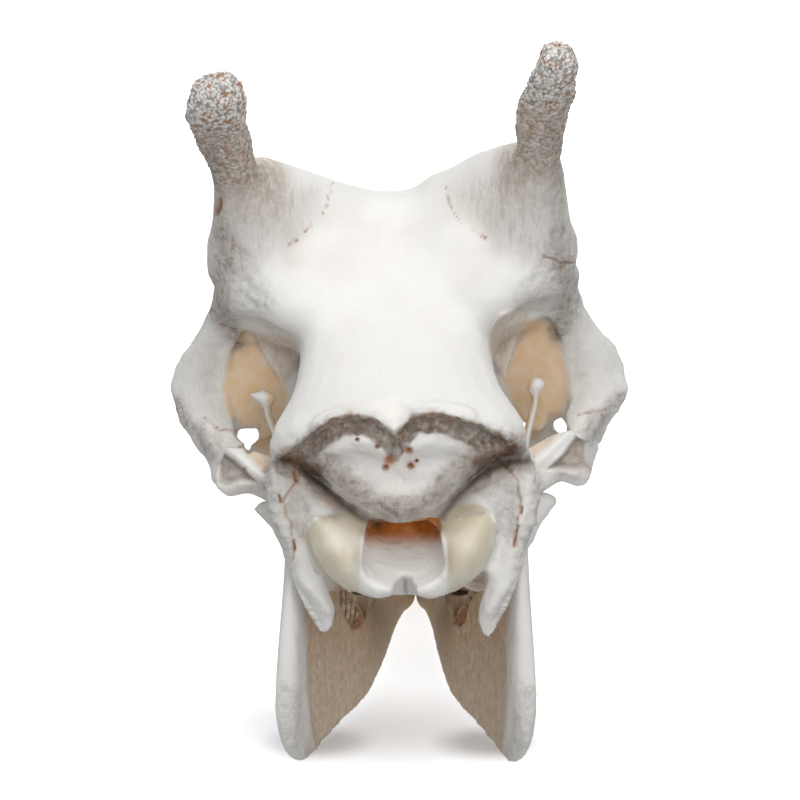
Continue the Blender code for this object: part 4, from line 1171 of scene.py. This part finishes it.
def part_names(points):
    """Name of the piece that each place belongs to."""
    names = np.full(len(points), "frontal", dtype=object)
    names[points[:, 1] < FRONTAL_CUT_Y] = "vault"
    names[points[:, 1] < REAR_CUT_Y] = "occiput"
    names[in_face(points)] = "face"
    for side, word in ((1, "right"), (-1, "left")):
        names[in_ossicone(side, points)] = "ossicone_" + word
        names[in_arch(side, points)] = "cheek_arch_" + word
    return names


def close_cuts(model, cuts):
    """Fills the openings that the cuts left, plane by plane."""
    rims = [e for e in model.edges if e.is_boundary]
    cuts = [c for c in cuts if any(all(c.holds(v.co) for v in e.verts) for e in rims)]
    ends = {v for e in rims for v in e.verts}
    corners = []
    for a, b in combinations(cuts, 2):
        way = a.normal.cross(b.normal)
        row = sorted((v for v in ends if a.holds(v.co) and b.holds(v.co)),
                     key=lambda v: v.co.dot(way))
        for near, far in zip(row[::2], row[1::2]):
            corners.append(model.edges.get((near, far)) or model.edges.new((near, far)))
    for cut in cuts:
        loop = [e for e in rims + corners if all(cut.holds(v.co) for v in e.verts)]
        if len(loop) > 2:
            bmesh.ops.triangle_fill(model, edges=loop, use_beauty=True, normal=cut.normal)
    bmesh.ops.recalc_face_normals(model, faces=model.faces)


def part_cranium(whole):
    """Closed pieces of the fused cranium, which keep the unparted skin's normals to be shaded by."""
    cuts = parting_cuts()
    model = bmesh.new()
    model.from_mesh(whole.data)
    smooth = model.verts.layers.float_vector.new("fused_normal")
    for vert in model.verts:
        vert[smooth] = vert.normal
    cut_along(model, cuts)
    names = part_names(face_middles(model))
    shared = bpy.data.meshes.new("fused")
    model.to_mesh(shared)
    model.free()
    pieces = {}
    for name in sorted(set(names)):
        model = bmesh.new()
        model.from_mesh(shared)
        spare = [f for f, mine in zip(model.faces, names == name) if not mine]
        bmesh.ops.delete(model, geom=spare, context="FACES")
        close_cuts(model, cuts)
        left_open = sum(1 for e in model.edges if not e.is_manifold)
        if left_open:
            print("open edges in", name, left_open)
        pieces[name] = new_object(name, model)
    bpy.data.meshes.remove(shared)
    return pieces


def shade_as_fused(obj):
    """Smooth shading by the normals of the unparted skin, so that no seam shows."""
    mesh = obj.data
    mesh.shade_smooth()
    normals = np.empty(len(mesh.vertices) * 3, np.float32)
    mesh.attributes["fused_normal"].data.foreach_get("vector", normals)
    normals = normals.reshape(-1, 3)
    lengths = np.linalg.norm(normals, axis=1)
    own = read_normals(mesh)
    normals = np.where(lengths[:, None] > 0.2, normals / np.maximum(lengths, 1e-6)[:, None], own)
    mesh.normals_split_custom_set_from_vertices([tuple(n) for n in normals])
    mesh.attributes.remove(mesh.attributes["fused_normal"])


# Materials


class Tree:
    """Node tree with short ways to add a node and to mix values and colours."""

    def __init__(self, tree):
        self.tree = tree

    def add(self, kind, inputs=None, **settings):
        node = self.tree.nodes.new(kind)
        for name, value in settings.items():
            setattr(node, name, value)
        for name, value in (inputs or {}).items():
            self.feed(node.inputs[name], value)
        return node

    def feed(self, socket, value):
        if isinstance(value, bpy.types.NodeSocket):
            self.tree.links.new(value, socket)
        elif socket.type == "RGBA" and len(value) == 3:
            socket.default_value = (*value, 1.0)
        else:
            socket.default_value = value

    def math(self, operation, *values, clamp=False):
        return self.add("ShaderNodeMath", dict(enumerate(values)), operation=operation,
                        use_clamp=clamp).outputs[0]

    def times(self, value, other):
        return self.math("MULTIPLY", value, other)

    def ramp(self, value, low, high, to_low=0.0, to_high=1.0):
        """Smooth step of a value between two levels, carried to two others."""
        return self.add("ShaderNodeMapRange", {0: value, 1: low, 2: high, 3: to_low, 4: to_high},
                        interpolation_type="SMOOTHSTEP").outputs[0]

    def mix(self, share, below, above):
        node = self.add("ShaderNodeMix", data_type="RGBA")
        for index, value in ((0, share), (6, below), (7, above)):
            self.feed(node.inputs[index], value)
        return node.outputs[2]

    def attribute(self, name):
        return self.add("ShaderNodeAttribute", attribute_name=name).outputs["Fac"]

    def place(self):
        return self.add("ShaderNodeTexCoord").outputs["Object"]

    def noise(self, vector, size, detail=3.0, rough=0.55):
        """Noise in 0..1 whose larger spots are about a size in millimetres."""
        inputs = {"Vector": vector, "Scale": 1.0 / (size * MM), "Detail": detail, "Roughness": rough}
        return self.add("ShaderNodeTexNoise", inputs).outputs["Fac"]

    def swirl(self, vector, size):
        """Noise of three channels in 0..1, to bend places with."""
        return self.add("ShaderNodeTexNoise", {"Vector": vector, "Scale": 1.0 / (size * MM),
                                               "Detail": 2.0}).outputs["Color"]

    def span(self, vector, centre):
        """Distance of a place from another, in metres."""
        return self.add("ShaderNodeVectorMath", {0: vector, 1: centre},
                        operation="DISTANCE").outputs["Value"]

    def cells(self, vector, size, feature="F1"):
        return self.add("ShaderNodeTexVoronoi", {"Vector": vector, "Scale": 1.0 / (size * MM)},
                        feature=feature).outputs["Distance"]

    def group(self, group, **inputs):
        node = self.add("ShaderNodeGroup", node_tree=group)
        for name, value in inputs.items():
            self.feed(node.inputs[name], value)
        return node.outputs


def new_material(name):
    material = bpy.data.materials.new(name)
    material.use_nodes = True
    return material, Tree(material.node_tree), material.node_tree.nodes["Principled BSDF"]


def new_group(name, takes, gives):
    group = bpy.data.node_groups.new(name, "ShaderNodeTree")
    for direction, sockets in (("INPUT", takes), ("OUTPUT", gives)):
        for socket, kind in sockets.items():
            group.interface.new_socket(socket, in_out=direction, socket_type="NodeSocket" + kind)
    tree = Tree(group)
    return group, tree, tree.add("NodeGroupInput").outputs, tree.add("NodeGroupOutput")


def weather_group():
    """Blotches and fine specks of old clean bone, as masks."""
    group, tree, takes, gives = new_group(
        "bone_weather", {"Vector": "Vector"},
        {"Blotch": "Float", "Speck": "Float"})
    vector = takes["Vector"]
    tree.feed(gives.inputs["Blotch"], tree.ramp(tree.noise(vector, 46.0, 4.0), 0.40, 0.66))
    patches = tree.ramp(tree.noise(vector, 30.0, 2.0), 0.48, 0.66)
    specks = tree.ramp(tree.cells(vector, 3.1), 0.06, 0.19, 1.0, 0.0)
    tree.feed(gives.inputs["Speck"], tree.times(patches, specks))
    return group


def grain_group():
    """Height of the bone's grain in millimetres, and how far each place lies in its gaps."""
    group, tree, takes, gives = new_group(
        "bone_grain", {"Vector": "Vector", "Rough": "Float", "Granules": "Float", "Streaks": "Float"},
        {"Height": "Float", "Gap": "Float"})
    vector = takes["Vector"]
    fine = tree.noise(vector, 1.3, 4.0, 0.65)
    soft = tree.noise(vector, 7.0, 3.0, 0.5)
    bent = tree.add("ShaderNodeVectorMath", {0: tree.swirl(vector, 5.0), 1: (0.003,) * 3, 2: vector},
                    operation="MULTIPLY_ADD").outputs[0]
    along = tree.add("ShaderNodeMapping", {"Vector": bent, "Scale": (1.0, 0.16, 0.14)}).outputs[0]
    streak = tree.noise(along, 2.0, 4.0, 0.65)
    wrinkle = tree.noise(bent, 6.0, 6.0, 0.74)
    bead = tree.cells(bent, 2.2)
    height = tree.math("MULTIPLY_ADD", soft, 0.30, tree.times(fine, 0.10))
    streaks = tree.times(tree.ramp(streak, 0.32, 0.68), takes["Streaks"])
    height = tree.math("MULTIPLY_ADD", streaks, 0.45, height)
    wrinkles = tree.times(tree.ramp(wrinkle, 0.30, 0.70), takes["Rough"])
    height = tree.math("MULTIPLY_ADD", wrinkles, 1.9, height)
    beads = tree.times(tree.ramp(bead, 0.15, 0.75, 1.0, 0.0), takes["Granules"])
    height = tree.math("MULTIPLY_ADD", beads, 1.0, height)
    tree.feed(gives.inputs["Height"], height)
    in_beads = tree.times(tree.ramp(bead, 0.46, 0.74), takes["Granules"])
    in_wrinkles = tree.times(tree.ramp(wrinkle, 0.50, 0.36), takes["Rough"])
    in_streaks = tree.times(tree.ramp(streak, 0.50, 0.34), takes["Streaks"])
    gap = tree.math("MAXIMUM", in_beads, tree.times(in_wrinkles, 0.8))
    tree.feed(gives.inputs["Gap"], tree.math("MAXIMUM", gap, tree.times(in_streaks, 0.30)))
    return group


def bone_material(settings):
    """Bone whose colour follows what is painted on the pieces: painted shade in hollows, creases and
    recesses, crusts, stains, joints and painted glow of thin bone.
    """
    material, tree, shader = new_material("skull_bone")
    place = tree.place()
    weather = tree.group(weather_group(), Vector=place)
    paint = {name: tree.attribute(name) for name in PAINTS}
    grime = tree.noise(place, 7.0, 4.0, 0.6)
    grain = tree.group(grain_group(), Vector=place, Rough=paint["rough"], Granules=paint["granular"],
                       Streaks=paint["striated"])

    colour = tree.mix(tree.times(weather["Blotch"], 0.10), settings.pale, settings.ivory)
    # Painted shade in broad hollows
    deep = tree.ramp(paint["deep"], 0.50, 0.86)
    colour = tree.mix(tree.times(deep, 0.55), colour, settings.shade)
    colour = tree.mix(tree.times(weather["Speck"], 0.30), colour, settings.tan)
    worn = tree.math("MULTIPLY_ADD", paint["grey"], 0.4, 0.08)
    mottle = tree.ramp(tree.noise(place, 2.2, 5.0, 0.7), 0.42, 0.70)
    colour = tree.mix(tree.times(mottle, worn), colour, settings.shade)
    tans = tree.times(paint["tan"], tree.ramp(grime, 0.25, 0.75, 0.6, 1.0))
    colour = tree.mix(tans, colour, settings.tan)
    # Grey paint: real grey tone, and painted shade where it is laid in recesses and under overhangs
    greys = tree.times(paint["grey"], tree.ramp(grime, 0.30, 0.70, 0.45, 0.95))
    colour = tree.mix(greys, colour, settings.shade)
    # Brown paint: old dirt, and painted shade where it lies under overhangs and in pockets and hollows
    browns = tree.times(paint["brown"], tree.ramp(tree.noise(place, 4.0, 4.0), 0.35, 0.65))
    colour = tree.mix(tree.times(browns, 0.8), colour, settings.dirt)
    # Painted shade in fine creases, in a darker copy of the shade colour
    fine = tree.times(tree.ramp(paint["hollow"], 0.56, 0.90), 0.5)
    colour = tree.mix(fine, colour, tuple(0.55 * c for c in settings.shade))
    polish = tree.ramp(tree.noise(place, 22.0, 3.0), 0.3, 0.62, 0.45, 0.95)
    ivories = tree.times(paint["ivory"], polish)
    colour = tree.mix(ivories, colour, settings.ivory)
    # Painted shade with dirt in the grain's gaps
    colour = tree.mix(tree.times(grain["Gap"], 0.72), colour, settings.gap)
    crust = tree.math("MAXIMUM", paint["granular"], tree.times(paint["rough"], 0.8))
    crusted = tree.ramp(crust, 0.3, 1.0)
    pits = tree.times(tree.times(grain["Gap"], crusted),
                     tree.ramp(tree.noise(place, 5.0, 2.0), 0.48, 0.56))
    stains = tree.math("MAXIMUM", tree.times(pits, 0.75),
                       tree.times(paint["suture"], 0.6))
    edged = tree.times(paint["stain"], tree.ramp(grime, 0.2, 0.6, 0.55, 1.0))
    stains = tree.math("MAXIMUM", stains, edged, clamp=True)
    colour = tree.mix(stains, colour, settings.stain)
    colour = tree.mix(tree.times(paint["amber"], tree.ramp(grime, 0.1, 0.6, 0.8, 1.0)),
                      colour, settings.amber)
    # Dark paint: painted shade in grooves, pockets, hollows and gaps
    colour = tree.mix(tree.times(paint["dark"], 0.9), colour, tuple(0.5 * c for c in settings.gap))
    tree.feed(shader.inputs["Base Color"], colour)

    rough = tree.ramp(paint["ivory"], 0.0, 1.0, 0.66, 0.42)
    tree.feed(shader.inputs["Roughness"], tree.math("MULTIPLY_ADD", grime, 0.12, rough))
    shader.inputs["Specular IOR Level"].default_value = 0.38
    bump = tree.add("ShaderNodeBump", {"Height": grain["Height"], "Distance": MM, "Strength": 0.8})
    tree.feed(shader.inputs["Normal"], bump.outputs[0])
    return material


def enamel_material(settings, bone):
    """Stained enamel with pale ribs and dark brown between them."""
    material, tree, shader = new_material("skull_enamel")
    place = tree.place()
    streaks = tree.add("ShaderNodeMapping", {"Vector": place, "Scale": (1.0, 1.0, 0.25)}).outputs[0]
    dirt = tree.ramp(tree.noise(streaks, 2.4, 4.0, 0.6), 0.36, 0.66)
    groove = tree.attribute("groove")
    share = tree.math("MAXIMUM", tree.times(dirt, 0.55), groove)
    brown = tuple(0.45 * c for c in bone.stain)
    tree.feed(shader.inputs["Base Color"], tree.mix(share, settings.enamel, brown))
    tree.feed(shader.inputs["Roughness"], tree.math("MULTIPLY_ADD", dirt, 0.25, 0.34))
    bump = tree.add("ShaderNodeBump", {"Height": dirt, "Distance": 0.3 * MM, "Strength": 0.4})
    tree.feed(shader.inputs["Normal"], bump.outputs[0])
    return material


# Where the shadow painted into the floor's glow lies: its middle, in metres with x halved, and the jaw's
# feet, where it is darkest
SHADOW_MIDDLE = (-0.018, -0.165, 0.0)
JAW_FEET = ((-0.048, -0.188, 0.0), (0.054, -0.188, 0.0))


def paper_material(settings):
    """White paper that glows, with a painted shadow: the glow is less in its middle and least beside the
    jaw's two feet.
    """
    material, tree, shader = new_material("paper_glow_painted_shadow")
    place = tree.place()
    squeezed = tree.add("ShaderNodeMapping", {"Vector": place, "Scale": (0.5, 1.0, 1.0)}).outputs[0]
    glow = tree.ramp(tree.span(squeezed, SHADOW_MIDDLE), 0.0, 0.12,
                     0.54 * settings.glow, 1.22 * settings.glow)
    for foot in JAW_FEET:
        glow = tree.times(glow, tree.ramp(tree.span(place, foot), 0.010, 0.042, 0.2, 1.0))
    glow = tree.times(glow, tree.ramp(tree.span(place, (0.0, 0.0, 0.0)), 1.0, 4.0, 1.0, 1.8))
    tree.feed(shader.inputs["Base Color"], settings.floor)
    tree.feed(shader.inputs["Roughness"], tree.ramp(tree.noise(place, 4.0), 0.2, 0.8, 0.86, 0.94))
    shader.inputs["Emission Color"].default_value = (0.98, 0.99, 1.0, 1.0)
    tree.feed(shader.inputs["Emission Strength"], glow)
    return material


# Teeth


def bite_level(y):
    """Height at which the upper and lower teeth meet."""
    return BITE_REAR - BITE_SLOPE * (y - BITE_REAR_Y)


def squared(value):
    """Cosine or sine drawn towards 1 or -1, which makes a circle a rounded square."""
    return math.copysign(abs(value) ** 0.72, value)


def add_tooth(model, centre, root, crown, length, width, ribs, paint):
    """Column of enamel with ribs down both sides, from its root level to its worn crown."""
    rings = []
    for t, swell in zip(TOOTH_LEVELS, TOOTH_SWELLS):
        ring = []
        for k in range(TOOTH_SIDES):
            angle = 2.0 * math.pi * k / TOOTH_SIDES
            along, across = squared(math.cos(angle)), squared(math.sin(angle))
            wave = math.cos(math.pi * ribs * along)
            x = 0.5 * width * swell * across * (1.0 + 0.11 * wave)
            y = 0.5 * length * along * (0.9 + 0.1 * swell)
            place = np.array((centre[0] + x, centre[1] + y, root + (crown - root) * t))
            vert = model.verts.new(to_frame(place))
            vert[paint] = max(0.0, -wave) ** 2 * (0.5 + 0.5 * (1.0 - t))
            ring.append(vert)
        rings.append(ring)
    for low, high in zip(rings, rings[1:]):
        for k in range(TOOTH_SIDES):
            j = (k + 1) % TOOTH_SIDES
            model.faces.new((low[k], low[j], high[j], high[k]))
    for ring, sunk in ((rings[0], 0.0), (rings[-1], math.copysign(CROWN_SUNK, crown - root))):
        cap = model.faces.new(ring)
        bmesh.ops.inset_individual(model, faces=[cap], thickness=1.6 * MM)
        for vert in cap.verts:
            vert.co.z -= sunk * MM
            vert[paint] = 0.9


def tooth_row(name, side, front, x_rear, x_front, width, depth, upward, settings, enamel):
    """Row of cheek teeth on one side: upward is 1 for the lower jaw's and -1 for the upper one's."""
    rng = random.Random(11 + side + 3 * upward)
    model = bmesh.new()
    paint = model.verts.layers.float.new("groove")
    y = front
    for length in TOOTH_LENGTHS:
        y -= length / 2.0
        share = (front - y) / sum(TOOTH_LENGTHS)
        x = x_front + (x_rear - x_front) * share
        crown = bite_level(y) - 0.6 * upward + rng.uniform(-0.8, 0.0) * upward
        wide = width * (0.74 + 0.28 * share) * rng.uniform(0.97, 1.04)
        add_tooth(model, (side * x, y), crown - upward * depth, crown, length * 0.985, wide,
                  settings.ribs, paint)
        y -= length / 2.0
    bmesh.ops.recalc_face_normals(model, faces=model.faces)
    obj = new_object(name, model)
    obj.data.shade_smooth()
    obj.data.materials.append(enamel)
    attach(obj, "root")
    return obj


# Operators


class SKULL_OT_cranium(bpy.types.Operator):
    """Sculpts the upper skull over its CAD nodes and parts it into its pieces"""

    bl_idname = "skull.cranium"
    bl_label = "Cranium"

    def execute(self, context):
        relief = context.scene.skull_relief
        fused = remeshed(merged_copy("cranium", CRANIUM, 0.2), relief.step)
        refine(fused, fine_parts(fused))
        refine(fused, pitted_part(fused))
        sculpt_cranium(fused, relief)
        bone = bone_material(context.scene.skull_bone)
        pieces = part_cranium(fused)
        bpy.data.objects.remove(fused)
        for name, obj in pieces.items():
            shade_as_fused(obj)
            obj.data.materials.append(bone)
            obj.name = name + "_bone"
            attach(obj, "root")
            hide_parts("braincase" if name in BRAINCASE_PIECES else name)
        return {"FINISHED"}


class SKULL_OT_mandible(bpy.types.Operator):
    """Sculpts both halves of the lower jaw"""

    bl_idname = "skull.mandible"
    bl_label = "Lower jaw"

    def execute(self, context):
        relief = context.scene.skull_relief
        bone = bpy.data.materials["skull_bone"]
        for word in ("left", "right"):
            node = "mandible_" + word
            jaw = remeshed(merged_copy(node + "_bone", [node], 0.0), relief.step)
            side = 1 if word == "right" else -1
            for _ in range(2):
                refine(jaw, crypt_area(Sculpt(jaw, leans=False), max(side, 0)) > 0.0)
            skin = Sculpt(jaw, leans=False)
            skin.fair(40, np.ones(len(skin.at)))
            skin.renew()
            sculpt_jaw(skin, side)
            skin.at[:, 2] = np.maximum(skin.at[:, 2], 0.0)
            skin.finish()
            jaw.data.shade_smooth()
            jaw.data.materials.append(bone)
            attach(jaw, "root")
            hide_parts(node)
        return {"FINISHED"}


class SKULL_OT_teeth(bpy.types.Operator):
    """Ribbed cheek teeth of both jaws"""

    bl_idname = "skull.teeth"
    bl_label = "Teeth"

    def execute(self, context):
        settings = context.scene.skull_teeth
        enamel = enamel_material(settings, context.scene.skull_bone)
        for side, word in ((1, "right"), (-1, "left")):
            for jaw, *sizes in TOOTH_ROWS:
                tooth_row(f"{jaw}_cheek_teeth_{word}", side, *sizes, settings, enamel)
        return {"FINISHED"}


# Half of the floor's side and the height of its raised rear edge, in metres
FLOOR_HALF = 12.0
BACKDROP_HEIGHT = 6.0


class SKULL_OT_stage(bpy.types.Operator):
    """Pale floor, soft light from above and the camera behind the skull"""

    bl_idname = "skull.stage"
    bl_label = "Stage"

    def execute(self, context):
        settings = context.scene.skull_stage
        scene = context.scene
        scene.view_settings.view_transform = "Standard"
        world = bpy.data.worlds.new("studio")
        world.use_nodes = True
        sky = world.node_tree.nodes["Background"].inputs
        sky["Color"].default_value = (1.0, 1.0, 1.0, 1.0)
        sky["Strength"].default_value = settings.fill
        scene.world = world

        model = bmesh.new()
        bmesh.ops.create_grid(model, x_segments=60, y_segments=60, size=FLOOR_HALF)
        for vert in model.verts:
            if vert.co.y > FLOOR_HALF - 0.1:
                vert.co.z = BACKDROP_HEIGHT
        floor = new_object("floor", model)
        floor.data.materials.append(paper_material(settings))
        floor.visible_diffuse = False

        for name, place, aim, size, power in (
                ("overhead", (0.0, -0.75, 2.0), (0.0, -0.1, 0.2), 1.7, settings.key),
                ("front", (0.25, -1.9, 0.72), (0.0, -0.25, 0.18), 0.8, 0.58 * settings.key),
                ("behind", (0.0, 1.6, 0.9), (0.0, 0.0, 0.1), 1.2, 0.35 * settings.key)):
            lamp = bpy.data.lights.new(name, "AREA")
            lamp.size = size
            lamp.energy = power
            light = bpy.data.objects.new(name, lamp)
            light.location = place
            light.rotation_euler = (Vector(aim) - light.location).to_track_quat("-Z", "Y").to_euler()
            light.visible_camera = False
            scene.collection.objects.link(light)

        lens = bpy.data.cameras.new("camera")
        lens.lens = settings.lens
        lens.sensor_width = 36.0
        lens.shift_x = CAMERA_SHIFT
        camera = bpy.data.objects.new("camera", lens)
        camera.location = Vector(to_frame(np.array(CAMERA_AT)))
        camera.rotation_euler = (Matrix.Rotation(CAMERA_YAW, 3, "Z")
                                 @ Matrix.Rotation(math.pi / 2.0 - CAMERA_DIP, 3, "X")).to_euler()
        scene.collection.objects.link(camera)
        scene.camera = camera
        return {"FINISHED"}


class SKULL_PT_panel(bpy.types.Panel):
    """Settings and steps of the skull"""

    bl_idname = "SKULL_PT_panel"
    bl_label = "Giraffe skull"
    bl_space_type = "VIEW_3D"
    bl_region_type = "UI"
    bl_category = "Skull"

    def draw(self, context):
        layout = self.layout
        for group in SETTINGS:
            box = layout.box()
            settings = getattr(context.scene, group)
            for name in settings.__annotations__:
                box.prop(settings, name)
        for operator in OPERATORS:
            layout.operator(operator.bl_idname)


SETTINGS = {
    "skull_bone": BoneSettings,
    "skull_relief": ReliefSettings,
    "skull_teeth": ToothSettings,
    "skull_stage": StageSettings,
}
OPERATORS = (SKULL_OT_cranium, SKULL_OT_mandible, SKULL_OT_teeth, SKULL_OT_stage)


def register():
    for group in SETTINGS.values():
        bpy.utils.register_class(group)
    for name, group in SETTINGS.items():
        setattr(bpy.types.Scene, name, PointerProperty(type=group))
    for item in (*OPERATORS, SKULL_PT_panel):
        bpy.utils.register_class(item)


def unregister():
    for item in (SKULL_PT_panel, *reversed(OPERATORS)):
        bpy.utils.unregister_class(item)
    for name in SETTINGS:
        delattr(bpy.types.Scene, name)
    for group in reversed(SETTINGS.values()):
        bpy.utils.unregister_class(group)


def main():
    register()
    bpy.ops.skull.cranium()
    bpy.ops.skull.mandible()
    bpy.ops.skull.teeth()
    bpy.ops.skull.stage()
    bpy.context.view_layer.update()


if __name__ == "__main__":
    main()
